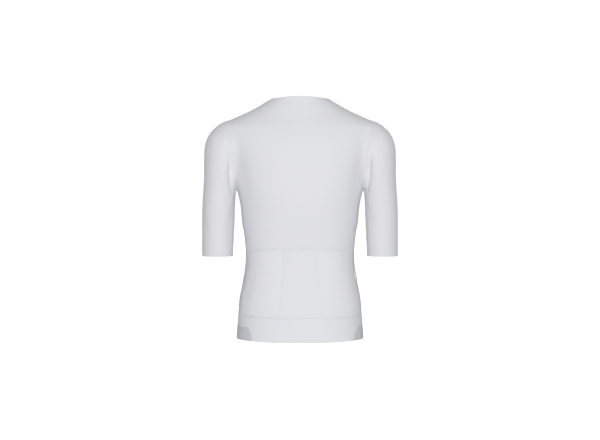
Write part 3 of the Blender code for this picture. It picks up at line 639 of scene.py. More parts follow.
    def sleeve(self) -> Grid:
        """Return the left sleeve: rings that turn from the armhole to the level cuff."""
        cut, form, loop = self.cut, self.form, self.loop
        arm = form.arm
        underarm = loop[(self.rear_place + self.front_place) // 2]
        lean = math.radians(cut.armhole_lean)
        crest = form.leave(np.array(cut.armhole_centre), points_of(math.sin(lean), 0.0, 1.0))[0]
        turns = np.radians(np.linspace(self.crown_turn, 0.0, self.crown_steps))
        crown = form.CROWN_HEIGHT
        core = np.array((arm.read("centre_x", crown), arm.read("centre_y", crown), crown))
        cap = form.leave(core, points_of(np.cos(turns), 0.0, np.sin(turns)))
        inner = np.vstack((underarm, self.down_arm(underarm[2] - self.underarm_foot, -1.0)))
        outer = np.vstack((crest, cap, self.down_arm(crown - self.crown_foot, 1.0)))
        count = self.sleeve_rows * self.rows + 1
        low, high = respaced(inner, count, self.inner_ease), respaced(outer, count)
        rise = crest - underarm
        tall = (loop - (underarm + crest) / 2.0) @ rise / (rise @ rise)
        wide = loop[:, 1] - cut.armhole_centre[1]
        rings = [loop]
        for step in range(1, count):
            middle = (low[step] + high[step]) / 2.0
            up = (high[step] - low[step]) * (1.0, 0.0, 1.0)
            rays = up * tall[:, None] + points_of(0.0, wide, 0.0)
            rings.append(form.leave(np.broadcast_to(middle, rays.shape), rays))
        return np.stack(rings)


# Shader maths.

class Socket:
    """A socket of a node, with arithmetic that adds Math nodes."""

    def __init__(self, finish: "Finish", socket: bpy.types.NodeSocket) -> None:
        """Keep the socket and the material that it belongs to."""
        self.finish = finish
        self.socket = socket

    def _math(self, operation: str, *values: "Socket | float") -> "Socket":
        """Return the result of a Math node."""
        return self.finish.node("ShaderNodeMath", {"operation": operation}, values)

    def __add__(self, other: "Socket | float") -> "Socket":
        """Return the sum."""
        return self._math("ADD", self, other)

    def __radd__(self, other: float) -> "Socket":
        """Return the sum."""
        return self._math("ADD", other, self)

    def __sub__(self, other: "Socket | float") -> "Socket":
        """Return the difference."""
        return self._math("SUBTRACT", self, other)

    def __rsub__(self, other: float) -> "Socket":
        """Return the difference, the other way round."""
        return self._math("SUBTRACT", other, self)

    def __mul__(self, other: "Socket | float") -> "Socket":
        """Return the product."""
        return self._math("MULTIPLY", self, other)

    def __rmul__(self, other: float) -> "Socket":
        """Return the product."""
        return self._math("MULTIPLY", other, self)

    def __truediv__(self, other: "Socket | float") -> "Socket":
        """Return the quotient."""
        return self._math("DIVIDE", self, other)

    def __pow__(self, other: "Socket | float") -> "Socket":
        """Return the power."""
        return self._math("POWER", self, other)

    def sine(self) -> "Socket":
        """Return the sine."""
        return self._math("SINE", self)

    def fraction(self) -> "Socket":
        """Return the part past the whole number."""
        return self._math("FRACT", self)

    def absolute(self) -> "Socket":
        """Return the size without its sign."""
        return self._math("ABSOLUTE", self)


class Finish:
    """A material in the making: a Principled shader and the nodes that feed it."""

    def __init__(self, name: str, colour: tuple[float, float, float], roughness: float) -> None:
        """Make the material with its plain values."""
        self.material = bpy.data.materials.new(name)
        self.material.use_nodes = True
        self.tree = self.material.node_tree
        self.shader = self.tree.nodes["Principled BSDF"]
        self.colour, self.roughness = colour, roughness
        self.put("Base Color", (*colour, 1.0))
        self.put("Roughness", roughness)

    def put(self, name: str, value: "Socket | float | tuple[float, ...]") -> None:
        """Set or link an input of the shader."""
        self._feed(self.shader.inputs[name], value)

    def _feed(self, target: bpy.types.NodeSocket, value: "Socket | float | tuple[float, ...]") -> None:
        """Set or link any input."""
        if isinstance(value, Socket):
            self.tree.links.new(value.socket, target)
        else:
            target.default_value = value

    def node(self, kind: str, settings: dict, values: Sequence | dict, output: int | str = 0) -> Socket:
        """Add a node and return one of its outputs.

        Args:
            kind: the node's type.
            settings: its properties, set before its sockets.
            values: what its inputs get, in order or by name.
            output: which output to return.

        Returns:
            The output, ready for arithmetic.
        """
        made = self.tree.nodes.new(kind)
        for name, setting in settings.items():
            setattr(made, name, setting)
        pairs = values.items() if isinstance(values, dict) else enumerate(values)
        for name, value in pairs:
            self._feed(made.inputs[name], value)
        return Socket(self, made.outputs[output])

    def uv(self) -> tuple[Socket, Socket]:
        """Return how far a point lies across and up the cloth, in metres."""
        place = self.node("ShaderNodeUVMap", {"uv_map": "cloth"}, ())
        split = self.node("ShaderNodeSeparateXYZ", {}, (place,))
        return split, Socket(self, split.socket.node.outputs[1])

    def noise(self, scale: float, detail: float = 3.0) -> Socket:
        """Return noise over the object, from 0 to 1."""
        place = self.node("ShaderNodeTexCoord", {}, (), "Object")
        return self.node("ShaderNodeTexNoise", {}, {"Vector": place, "Scale": scale, "Detail": detail}, "Fac")

    def mixed(self, share: Socket, low: tuple[float, ...], high: tuple[float, ...]) -> Socket:
        """Return a colour between two, by a share."""
        made = self.tree.nodes.new("ShaderNodeMix")
        made.data_type = "RGBA"
        self._feed(made.inputs["Factor"], share)
        made.inputs[6].default_value = (*low, 1.0)
        made.inputs[7].default_value = (*high, 1.0)
        return Socket(self, made.outputs[2])

    def relief(self, height: Socket, depth: float, strength: float = 1.0) -> None:
        """Raise the surface by a height from 0 to 1, times a depth in metres."""
        values = {"Height": height, "Distance": depth, "Strength": strength}
        self.put("Normal", self.node("ShaderNodeBump", {}, values, "Normal"))


@dataclass(frozen=True)
class Knit:
    """A weft knit: columns of loops, with its sheen, its faint unevenness and painted shade in the hollows
    between its loops.
    """

    name: str
    colour: tuple[float, float, float]
    shade: tuple[float, float, float]
    roughness: float = 0.72
    wale: float = 0.0011
    course: float = 0.0009
    depth: float = 0.00014
    shade_in_pores: float = 0.25
    sheen: float = 0.18

    def make(self) -> bpy.types.Material:
        """Return the material."""
        finish = Finish(self.name, self.colour, self.roughness)
        across, up = finish.uv()
        column = (across / self.wale).fraction()
        arm = (column - 0.5).absolute() * 2.0
        loop = ((up / self.course + arm * 0.55) * (2.0 * math.pi)).sine() * 0.5 + 0.5
        ridge = 1.0 - ((arm - 0.5).absolute() * 2.0) ** 2.0
        height = ridge * 0.6 + loop * ridge * 0.4
        cloud = finish.noise(7.0)
        grain = finish.noise(1400.0, 2.0)
        # Painted shade: where the loops' relief is low the colour is mixed towards the darker one; the cloud
        # and the grain add tone that differs at random.
        pore_shade_and_tone = (1.0 - height) * self.shade_in_pores + cloud * 0.35 + grain * 0.12
        finish.put("Base Color", finish.mixed(pore_shade_and_tone, self.colour, self.shade))
        finish.put("Roughness", self.roughness + (cloud - 0.5) * 0.08 + (1.0 - height) * 0.06)
        finish.put("Sheen Weight", self.sheen)
        finish.put("Sheen Roughness", 0.45)
        finish.put("IOR", 1.4)
        finish.relief(height + grain * 0.25, self.depth, 0.7)
        return finish.material


@dataclass(frozen=True)
class OpenMesh:
    """A knit with rows of small staggered eyelets, painted darker as shade."""

    name: str
    colour: tuple[float, float, float]
    shade: tuple[float, float, float]
    pitch: float = 0.0024
    depth: float = 0.00028

    def make(self) -> bpy.types.Material:
        """Return the material."""
        finish = Finish(self.name, self.colour, 0.74)
        across, up = finish.uv()
        turn = 2.0 * math.pi / self.pitch
        first = (across * turn).sine() * (up * turn).sine()
        eyelet = first.absolute() ** 1.6
        grain = finish.noise(1100.0, 2.0)
        cloud = finish.noise(6.0)
        # Painted shade: the eyelets, low in the relief, are mixed towards the darker colour; the cloud adds
        # tone that differs at random.
        finish.put("Base Color", finish.mixed(eyelet * 0.7 + cloud * 0.3, self.colour, self.shade))
        finish.put("Roughness", 0.7 + eyelet * 0.12)
        finish.put("Sheen Weight", 0.15)
        finish.put("Sheen Roughness", 0.5)
        finish.relief(1.0 - eyelet + grain * 0.2, self.depth, 0.7)
        return finish.material


@dataclass(frozen=True)
class Elastic:
    """A dense elastic band with fine ribs along it, painted darker as shade in the grooves between them."""

    name: str
    colour: tuple[float, float, float]
    shade: tuple[float, float, float]
    rib: float = 0.0016

    def make(self) -> bpy.types.Material:
        """Return the material."""
        finish = Finish(self.name, self.colour, 0.66)
        across, up = finish.uv()
        rib = ((across * (2.0 * math.pi / self.rib)).sine() * 0.5 + 0.5) ** 0.7
        course = (up * (2.0 * math.pi / 0.0008)).sine() * 0.5 + 0.5
        cloud = finish.noise(9.0)
        # Painted shade: the grooves between the ribs, low in the relief, are mixed towards the darker colour;
        # the cloud adds tone that differs at random.
        finish.put("Base Color", finish.mixed((1.0 - rib) * 0.4 + cloud * 0.3, self.colour, self.shade))
        finish.put("Roughness", 0.62 + (1.0 - rib) * 0.1)
        finish.put("Sheen Weight", 0.14)
        finish.relief(rib + course * 0.25, 0.00018, 0.7)
        return finish.material


@dataclass(frozen=True)
class Weave:
    """A twill tape or a woven label, with painted shade in the low lines of its twill."""

    name: str
    colour: tuple[float, float, float]
    shade: tuple[float, float, float]
    pitch: float = 0.0009

    def make(self) -> bpy.types.Material:
        """Return the material."""
        finish = Finish(self.name, self.colour, 0.7)
        across, up = finish.uv()
        twill = ((across + up) * (2.0 * math.pi / self.pitch)).sine() * 0.5 + 0.5
        grain = finish.noise(900.0, 2.0)
        # Painted shade: the low lines of the twill are mixed towards the darker colour; the grain adds tone
        # that differs at random.
        finish.put("Base Color", finish.mixed((1.0 - twill) * 0.6 + grain * 0.2, self.colour, self.shade))
        finish.put("Roughness", 0.66 + grain * 0.1)
        finish.relief(twill, 0.00012, 0.6)
        return finish.material


@dataclass(frozen=True)
class Solid:
    """Thread, plastic or metal, with a fine grain and faint marks."""

    name: str
    colour: tuple[float, float, float]
    shade: tuple[float, float, float]
    roughness: float
    metallic: float = 0.0
    grain: float = 1500.0
    depth: float = 0.00003

    def make(self) -> bpy.types.Material:
        """Return the material."""
        finish = Finish(self.name, self.colour, self.roughness)
        grain = finish.noise(self.grain, 3.0)
        marks = finish.noise(self.grain / 12.0, 4.0)
        finish.put("Base Color", finish.mixed(marks, self.colour, self.shade))
        finish.put("Roughness", self.roughness + (grain - 0.5) * 0.12)
        finish.put("Metallic", self.metallic)
        finish.relief(grain, self.depth, 0.4)
        return finish.material


class Wardrobe(Enum):
    """The jersey's finishes, each named for the cloth or the fitting it is, and the gripper's also for the
    painted shade it gives the hem band's corners.
    """

    KNIT = Knit("fine_knit", (0.800, 0.798, 0.830), (0.738, 0.738, 0.780))
    SLEEVE = Knit("sleeve_knit", (0.786, 0.782, 0.804), (0.728, 0.726, 0.752), wale=0.0014, course=0.0008)
    INNER = OpenMesh("side_mesh", (0.770, 0.780, 0.815), (0.640, 0.650, 0.695))
    BAND = Elastic("hem_elastic", (0.788, 0.788, 0.822), (0.705, 0.706, 0.745))
    # A darker grey elastic for the grippers; on the two sheets on the hem band's lower corners it is painted
    # shade.
    GRIPPER_AND_SHADE = Elastic("gripper_elastic_and_shade", (0.640, 0.655, 0.690), (0.550, 0.565, 0.605), 0.0012)
    SILICONE = Solid("silicone", (0.780, 0.785, 0.795), (0.740, 0.745, 0.758), 0.25)
    TAPE = Weave("zip_tape", (0.800, 0.805, 0.825), (0.700, 0.705, 0.730))
    LABEL = Weave("blank_tab", (0.880, 0.880, 0.880), (0.760, 0.760, 0.765), 0.0007)
    THREAD = Solid("seam_thread", (0.830, 0.835, 0.850), (0.760, 0.768, 0.790), 0.55)
    COIL = Solid("zip_coil", (0.820, 0.824, 0.836), (0.760, 0.764, 0.780), 0.38)
    METAL = Solid("zip_metal", (0.720, 0.722, 0.730), (0.620, 0.624, 0.634), 0.28, 1.0, 2400.0)
    PLASTIC = Solid("pull_plastic", (0.800, 0.803, 0.815), (0.750, 0.753, 0.768), 0.42)


class Finishes:
    """Makes each finish once."""

    def __init__(self) -> None:
        """Start with none made."""
        self.made: dict[Wardrobe, bpy.types.Material] = {}

    def dress(self, made: bpy.types.Object, finish: Wardrobe, body: str = BODY) -> None:
        """Give a piece its material and its slot, and let it ride on a body."""
        if finish not in self.made:
            self.made[finish] = finish.value.make()
        made.data.materials.append(self.made[finish])
        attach(made, body)


@dataclass
class Tailor:
    """Turns grids into sewn cloth pieces."""

    form: GarmentForm
    creases: Creases
    finishes: Finishes
    cloth: float = 1.2
    roll: tuple[float, ...] = (0.5, 1.4, 3.2)
    dip: float = 0.35
    dip_reach: float = 1.1
    thinned: float = 0.3
    thin_reach: float = 0.8
    far: float = 100.0
    least_area: float = 0.31
    least_side: float = 0.01

    def edged(self, grid: Grid, axis: int) -> tuple[Grid, np.ndarray]:
        """Return the grid with close lines at both ends of an axis, and how far in each line lies."""
        moved = np.moveaxis(grid, axis, 0)
        near = np.array(self.roll)[:, None, None]
        parts = []
        for part, inner in ((moved[0], moved[1]), (moved[-1], moved[-2])):
            run = inner - part
            parts.append(part + unit(run) * np.minimum(near, np.linalg.norm(run, axis=-1)[..., None] * 0.9))
        result = np.concatenate((moved[:1], parts[0], moved[1:-1], parts[1][::-1], moved[-1:]))
        depth = np.full(len(result), self.far)
        depth[:len(self.roll) + 1] = (0.0, *self.roll)
        depth[-len(self.roll) - 1:] = (0.0, *self.roll)[::-1]
        return np.moveaxis(result, 0, axis), depth

    def shell(self, name: str, grid: Grid, finish: Wardrobe, closed: bool = False,
              lift: np.ndarray | float = 0.0, thickness: float | None = None, dip: float | None = None,
              replaces: bool = True, stretch: float = 1.05) -> None:
        """Sew one cloth piece: a wall inwards from a grid, with rolled edges.

        Args:
            name: the piece's name.
            grid: its outer face, in millimetres.
            finish: its cloth.
            closed: whether its rows are rings.
            lift: how far it stands off the form.
            thickness: the wall, if it isn't the usual one.
            dip: how far its edges are drawn down into the seams, if not as usual.
            replaces: whether it stands for the CAD node of its name.
            stretch: how much longer the worn cloth is than its cut, each way.
        """
        wall = self.cloth if thickness is None else thickness
        lifts = np.broadcast_to(lift, grid.shape[:2])[..., None]
        out = self.form.outward(grid)
        face = grid + out * (self.creases.rise(grid)[..., None] + lifts)
        packed = np.concatenate((face, out), axis=-1)
        packed, up_depth = self.edged(packed, 0)
        across_depth = np.full(packed.shape[1], self.far)
        if not closed:
            packed, across_depth = self.edged(packed, 1)
        face, out = packed[..., :3], unit(packed[..., 3:])
        near = np.minimum(up_depth[:, None], across_depth[None, :])
        drawn = self.dip if dip is None else dip
        face = face - out * (drawn * np.exp(-((near / self.dip_reach) ** 2)))[..., None]
        inner = face - out * (wall - self.thinned * np.exp(-((near / self.thin_reach) ** 2)))[..., None]
        made = self.solid(f"{name}_cloth", face, inner, closed)
        self.finishes.dress(made, finish)
        if replaces:
            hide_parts(name)
        self.declare(face, stretch, closed)
        LOG.info("%s: %d faces", name, len(made.data.polygons))

    def declare(self, face: Grid, stretch: float, closed: bool) -> None:
        """Work out the size and the area that the cloth was cut to, and keep neither; a strip under 10 mm
        wide is a trim, not a sheet.
        """
        round_ = np.concatenate((face, face[:, :1]), axis=1) if closed else face
        rows = np.linalg.norm(np.diff(round_, axis=1), axis=-1).sum(axis=1)
        ranks = np.linalg.norm(np.diff(round_, axis=0), axis=-1).sum(axis=0)
        a, b = np.diff(round_, axis=1)[:-1], np.diff(round_, axis=0)[:, :-1]
        area = np.linalg.norm(np.cross(a, b), axis=-1).sum() / stretch**2
        width, length = rows.max() / stretch, ranks.max() / stretch
        area = min(max(area, self.least_area * width * length), width * length)
        flat = (round(width * MM, 3), round(length * MM, 3))
        if min(flat) >= self.least_side:
            min(area * MM**2, flat[0] * flat[1])

    def solid(self, name: str, face: Grid, inner: Grid, closed: bool) -> bpy.types.Object:
        """Return a closed mesh between two grids, with a map of its cloth in metres."""
        rows, count = face.shape[:2]
        points = np.concatenate((face.reshape(-1, 3), inner.reshape(-1, 3))) * MM
        spans = count if closed else count - 1
        row, place = np.meshgrid(np.arange(rows - 1), np.arange(spans), indexing="ij")
        a, b = row * count + place, row * count + (place + 1) % count
        quads = np.stack((a, b, b + count, a + count), axis=-1).reshape(-1, 4)
        under = rows * count
        steps = np.arange(spans)
        nexts = (steps + 1) % count
        last = (rows - 1) * count
        rims = [np.stack((nexts, steps, steps + under, nexts + under), axis=-1),
                np.stack((steps + last, nexts + last, nexts + last + under, steps + last + under), axis=-1)]
        if not closed:
            ranks = np.arange(rows - 1) * count
            ends = ranks + count - 1
            rims.append(np.stack((ranks, ranks + count, ranks + count + under, ranks + under), axis=-1))
            rims.append(np.stack((ends + count, ends, ends + under, ends + count + under), axis=-1))
        faces = np.concatenate((quads, quads[:, ::-1] + under, *rims))
        mesh = bpy.data.meshes.new(name)
        mesh.from_pydata(points.tolist(), [], faces.tolist())
        across = np.linalg.norm(np.diff(face, axis=1), axis=-1).mean(axis=0)
        up = np.linalg.norm(np.diff(face, axis=0), axis=-1).mean(axis=1)
        across, up = (np.concatenate(([0.0], np.cumsum(steps_on))) for steps_on in (across, up))
        place_uv = np.stack(np.meshgrid(across, up), axis=-1).reshape(-1, 2) * MM
        chosen = np.concatenate((place_uv, place_uv))[faces.reshape(-1)]
        if closed:
            turn = np.linalg.norm(face[:, 0] - face[:, -1], axis=-1).mean() * MM + across[-1] * MM
            wraps = (faces.reshape(-1) % count == 0) & np.repeat((faces % count == count - 1).any(axis=1), 4)
            chosen[wraps, 0] += turn
        mesh.uv_layers.new(name="cloth").data.foreach_set("uv", chosen.reshape(-1))
        builder = bmesh.new()
        builder.from_mesh(mesh)
        bmesh.ops.recalc_face_normals(builder, faces=builder.faces)
        builder.to_mesh(mesh)
        builder.free()
        mesh.shade_smooth()
        return linked(name, mesh)

    def pair(self, name: str, grid: Grid, finish: Wardrobe, **options: bool | float) -> None:
        """Sew a piece on the wearer's left, and its mirror image on the right."""
        self.shell(f"{name}_left", grid, finish, **options)
        self.shell(f"{name}_right", grid * MIRROR, finish, **options)


def linked(name: str, data: bpy.types.ID) -> bpy.types.Object:
    """Return a new object with the data, in the scene."""
    made = bpy.data.objects.new(name, data)
    bpy.context.scene.collection.objects.link(made)
    return made


def primitive(make: Callable, **options: float | tuple[float, ...]) -> bpy.types.Object:
    """Return a new primitive, with nothing else selected, its place and turn applied."""
    bpy.ops.object.select_all(action="DESELECT")
    make(**options)
    made = bpy.context.object
    bpy.ops.object.transform_apply(location=True, rotation=True, scale=True)
    return made


@dataclass(frozen=True)
class Stitches:
    """One row of a seam, in millimetres and degrees."""

    beside: float
    length: float
    slant: float = 0.0


class Seam(Enum):
    """How a seam is stitched."""

    TOP = (Stitches(0.0, 2.2),)
    TWIN = (Stitches(-1.6, 2.2), Stitches(1.6, 2.2))
    FLATLOCK = (Stitches(-2.1, 2.1), Stitches(2.1, 2.1), Stitches(0.0, 4.4, 58.0))
    TEETH = (Stitches(0.0, 4.7, 90.0),)
    DOTS = (Stitches(-5.0, 2.4), Stitches(0.0, 2.4), Stitches(5.0, 2.4))


@dataclass
class Needlework:
    """Rows of stitches along the seams, each seam one mesh of many short threads."""

    form: GarmentForm
    creases: Creases
    finishes: Finishes

    def __post_init__(self) -> None:
        """Model one stitch: a short thread with round ends that dive into the cloth."""
        stitch = primitive(bpy.ops.mesh.primitive_uv_sphere_add, segments=6, ring_count=4, radius=0.5,
                           rotation=(0.0, math.radians(90.0), 0.0))
        self.shape = np.array([corner.co for corner in stitch.data.vertices])
        self.shape[:, 2] -= 0.5 * (2.0 * self.shape[:, 0]) ** 2
        self.faces = [tuple(face.vertices) for face in stitch.data.polygons]
        bpy.data.objects.remove(stitch)

    def sew(self, name: str, lines: Sequence[Line], seam: Seam, shift: float = 0.0,
            lift: float | np.ndarray = 0.22, finish: Wardrobe = Wardrobe.THREAD, pitch: float = 3.0,
            thread: float = 0.42, nodes: Sequence[str] = ()) -> None:
        """Sew a seam, or lay any row of small even pieces.

        Args:
            name: the name of the row.
            lines: the lines it follows, in millimetres, on the form.
            seam: how it is stitched.
            shift: how far beside each line it runs.
            lift: how far the thread stands off the form, at each point of a line if it varies.
            finish: what it is made of.
            pitch: the step from stitch to stitch.
            thread: how thick the thread is.
            nodes: the CAD nodes that it stands for.
        """
        blocks = [self.row(line, row, shift, lift, pitch, thread) for line in lines for row in seam.value]
        points = np.concatenate(blocks)
        size = len(self.shape)
        faces = [tuple(start + corner for corner in face)
                 for start in range(0, len(points), size) for face in self.faces]
        mesh = bpy.data.meshes.new(name)
        mesh.from_pydata((points * MM).tolist(), [], faces)
        mesh.shade_smooth()
        made = linked(name, mesh)
        self.finishes.dress(made, finish)
        if nodes:
            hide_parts(*nodes)
        LOG.info("%s: %d stitches", name, len(points) // size)

    def row(self, line: Line, row: Stitches, shift: float, lift: float | np.ndarray, pitch: float,
            thread: float) -> np.ndarray:
        """Return the corners of one row of stitches.

        Args:
            line: the line it follows.
            row: how long and how slanted its stitches are, and how far beside the line.
            shift: how much further beside the line it runs.
            lift: how far the thread stands off the form.
            pitch: the step from stitch to stitch.
            thread: how thick the thread is.

        Returns:
            The points, one stitch after another.
        """
        total = np.linalg.norm(np.diff(line, axis=0), axis=1).sum()
        count = max(2, round(total / pitch))
        place = respaced(line, 2 * count + 1)[1::2]
        if isinstance(lift, np.ndarray):
            lift = np.interp(np.linspace(0.0, 1.0, 2 * count + 1)[1::2], shares(line), lift)[:, None]
        ahead = unit(np.gradient(place, axis=0))
        out = self.form.outward(place)
        beside = unit(np.cross(out, ahead))
        centre = place + beside * (row.beside + shift)
        centre = centre - out * self.form.distance(centre)[:, None]
        centre = centre + out * (self.creases.rise(centre)[:, None] + lift)
        angle = math.radians(row.slant)
        signs = np.where(np.arange(len(place)) % 2 == 0, 1.0, -1.0)[:, None] * math.sin(angle)
        along = unit(ahead * math.cos(angle) + beside * signs) if row.slant else ahead
        side = unit(np.cross(out, along))
        along, side, up = (part[:, None] * (self.shape[None, :, axis:axis + 1] * scale) for part, axis, scale
                           in ((along, 0, row.length), (side, 1, thread), (out, 2, thread)))
        return (centre[:, None] + along + side + up).reshape(-1, 3)


@dataclass
class Jersey:
    """The whole garment: its panels, its seams and its fittings."""

    cut: Cut = field(default_factory=Cut)
    # The painted shade sheets on the hem band's lower corners: columns and rounding on each side, then their
    # cloth, dip and rows.
    left_shade_sheet: tuple[int, float] = (10, 0.3)
    right_shade_sheet: tuple[int, float] = (5, 0.8)
    shade_sheet_cloth: float = 0.5
    shade_sheet_dip: float = 0.4
    shade_sheet_rows: int = 3
    tape_cloth: float = 0.8
    tape_columns: int = 4
    tooth_pitch: float = 1.45
    tooth: float = 1.3
    cord: float = 1.8
    cord_sink: float = 0.9
    zip_points: int = 160
    foot_gap: float = 2.0
    slider_gap: float = 10.0
    tab_columns: int = 5
    tab_cloth: float = 0.8
    tab_lift: float = 1.1
    tab_flare: float = 2.4
    tab_curve: float = 1.3
    band_shift: float = -2.0
    zip_shift: float = 2.2
    pocket_lift_gap: float = 0.45
    hem_lift: float = 0.25
    dot_pitch: float = 5.0
    dot: float = 0.9

    def __post_init__(self) -> None:
        """Prepare the form, the pattern and the tools."""
        self.form = GarmentForm()
        self.creases = Creases(self.form)
        self.finishes = Finishes()
        self.pattern = Pattern(self.form, self.cut)
        self.tailor = Tailor(self.form, self.creases, self.finishes, self.cut.cloth)
        self.needle = Needlework(self.form, self.creases, self.finishes)

    def panels(self) -> None:
        """Sew the panels of the body, the sleeves, the collar and the hem, and lay the painted shade sheets
        on the hem band's lower corners.
        """
        pattern, tailor = self.pattern, self.tailor
        self.back_grid = pattern.back()
        tailor.shell("back_panel", self.back_grid, Wardrobe.KNIT)
        self.side_grid = pattern.side()
        tailor.pair("side_panel", self.side_grid, Wardrobe.INNER, stretch=1.08)
        tailor.pair("front_panel", pattern.front(), Wardrobe.KNIT)
        self.sleeve_grid = pattern.sleeve()
        tailor.pair("sleeve", self.sleeve_grid, Wardrobe.SLEEVE, closed=True)
        self.band_grid = pattern.hem_band()
        tailor.shell("back_hem_band", self.band_grid, Wardrobe.BAND)
        self.gripper_grid = pattern.gripper()
        tailor.pair("hem_gripper", self.gripper_grid, Wardrobe.GRIPPER_AND_SHADE)
        # Painted shade: two dark sheets of the gripper elastic on the band's lower corners, wider on the
        # left, where the band is only in shade.
        shade_sheets = (self.corner_shade_sheet(*self.left_shade_sheet), self.corner_shade_sheet(*self.right_shade_sheet) * MIRROR)
        for name, grid in zip(("gripper_end_left", "gripper_end_right"), shade_sheets):
            tailor.shell(name, grid, Wardrobe.GRIPPER_AND_SHADE, lift=self.shade_sheet_cloth, thickness=self.shade_sheet_cloth,
                         dip=self.shade_sheet_dip, replaces=False)
        self.collar_grid = pattern.collar()
        tailor.shell("collar", self.collar_grid, Wardrobe.KNIT)

    def corner_shade_sheet(self, columns: int, rounding: float) -> Grid:
        """Return a dark sheet laid on the hem band's lower left corner, its free corner rounded, as painted
        shade.

        Args:
            columns: how many of the band's columns it covers.
            rounding: how much narrower its top is, as a share.

        Returns:
            The grid, from the hem up.
        """
        band = finer(self.band_grid[:self.pattern.rows + 1], self.shade_sheet_rows)
        rows = []
        for height, row in zip(np.linspace(0.0, 1.0, len(band)), band):
            reach = columns * (1.0 - rounding * (1.0 - math.sqrt(1.0 - height**2)))
            rows.append(read_line(row, np.arange(len(row)), np.linspace(0.0, reach, 2 * columns + 1)))
        return self.form.settle(np.stack(rows))

    def pockets(self) -> None:
        """Sew the three pockets on the back, open at the mouth."""
        cut, columns = self.cut, self.pattern.pocket_columns * self.pattern.across
        rows = self.pattern.pocket_rows * self.pattern.rows
        across = np.sin(np.linspace(0.0, math.pi, columns + 1)) ** cut.pocket_curve
        up = np.sin(np.linspace(0.0, 1.0, rows + 1) * 0.5 * math.pi)
        lift = cut.seam_gap + cut.pocket_cloth + cut.pocket_fullness * up[:, None] * across[None]
        for place, name in enumerate(("pocket_left", "pocket_middle", "pocket_right")):
            area = self.back_grid[:rows + 1, place * columns:(place + 1) * columns + 1]
            stand = lift.copy()
            stand[0] = cut.pocket_sewn
            if place != 1:
                stand[:, -(place // 2)] = cut.pocket_sewn
            self.tailor.shell(name, area, Wardrobe.KNIT, lift=stand, thickness=cut.pocket_cloth, dip=0.0)
        self.pocket_lift = lift

    def fastening(self) -> None:
        """Set in the zip: its tapes, its cord and its teeth."""
        cut, pattern = self.cut, self.pattern
        edge = np.vstack((pattern.gripper_edge, pattern.zip_side[1:], self.collar_grid[1:, 0]))
        across = np.linspace(cut.zip_edge, cut.coil_half_width, self.tape_columns)
        inner = [pattern.front_line(edge[:, 2], x) for x in across[1:]]
        tape = np.stack((edge, *inner), axis=1)
        self.tailor.pair("zip_tape", tape, Wardrobe.TAPE, thickness=self.tape_cloth)
        self.zip_edge = edge
        heights = np.linspace(edge[0, 2] + self.foot_gap, edge[-1, 2] - self.slider_gap, self.zip_points)
        middle = pattern.front_line(heights, 0.0)
        self.needle.sew("zip_teeth", (middle,), Seam.TEETH, lift=0.0, finish=Wardrobe.COIL,
                        pitch=self.tooth_pitch, thread=self.tooth, nodes=("zip_coil",))
        self.needle.sew("zip_cord", (middle,), Seam.TOP, lift=-self.cord_sink, finish=Wardrobe.COIL,
                        pitch=self.tooth_pitch, thread=self.cord)

    def tab(self) -> None:
        """Sew the blank tab into the rear seam on the wearer's right, its free edge a little lifted."""
        level = 4 * self.pattern.rows
        area = (self.side_grid * MIRROR)[level - 1:level + 4, :self.tab_columns]
        area = finer(finer(area, 2), 3, 1)[1:]
        flare = self.tab_lift + self.tab_flare * np.linspace(0.0, 1.0, area.shape[1])[None] ** self.tab_curve
        flare = np.repeat(flare, len(area), axis=0)
        self.tailor.shell("side_tab", area, Wardrobe.LABEL, lift=flare, thickness=self.tab_cloth, stretch=1.0)

    def seams(self) -> None:
        """Stitch the seams, the pockets and the hems."""
        pattern, sew, cut = self.pattern, self.needle.sew, self.cut
        loop = np.vstack((pattern.loop, pattern.loop[:1]))
        sew("armhole_seams", both_sides(loop), Seam.FLATLOCK)
        sew("side_seams", (*both_sides(pattern.rear_seam), *both_sides(pattern.front_seam)), Seam.FLATLOCK)
        sew("shoulder_seams", both_sides(pattern.shoulder), Seam.FLATLOCK)
        sew("neck_seam", (pattern.neck,), Seam.TWIN)
        sew("hem_band_seam", (pattern.back_bottom,), Seam.TWIN, shift=self.band_shift)
        sew("gripper_seams", both_sides(self.gripper_grid[-1]), Seam.TWIN)
        rise = np.abs(self.sleeve_grid[:, 0, 2] - cut.cuff - cut.cuff_band)
        cuff = self.sleeve_grid[np.argmin(rise)]
        sew("cuff_stitches", both_sides(np.vstack((cuff, cuff[:1]))), Seam.TWIN)
        sew("zip_topstitch", both_sides(self.zip_edge), Seam.TOP, shift=self.zip_shift)
        rows, columns = pattern.pocket_rows * pattern.rows, pattern.pocket_columns * pattern.across
        for place in (1, 2):
            line = self.back_grid[:rows + 1, place * columns]
            sew(f"pocket_seam_{place}", (line,), Seam.TOP, lift=cut.pocket_cloth + self.pocket_lift_gap)
        mouth, below = self.back_grid[rows], self.back_grid[rows - 2]
        share = cut.pocket_hem / np.linalg.norm(mouth - below, axis=-1)[:, None]
        hem = mouth * (1.0 - share) + below * share
        for place in range(3):
            line = hem[place * columns + 1:(place + 1) * columns]
            lift = self.pocket_lift[rows - 2, 1:-1] + self.hem_lift
            sew(f"pocket_hem_{place + 1}", (line,), Seam.TWIN, lift=lift)
        silicone = (self.gripper_grid[0] + self.gripper_grid[-1]) / 2.0
        band = (self.band_grid[0] + self.band_grid[pattern.rows]) / 2.0
        sew("hem_silicone", (*both_sides(silicone), band), Seam.DOTS, lift=-cut.cloth,
            finish=Wardrobe.SILICONE, pitch=self.dot_pitch, thread=self.dot)


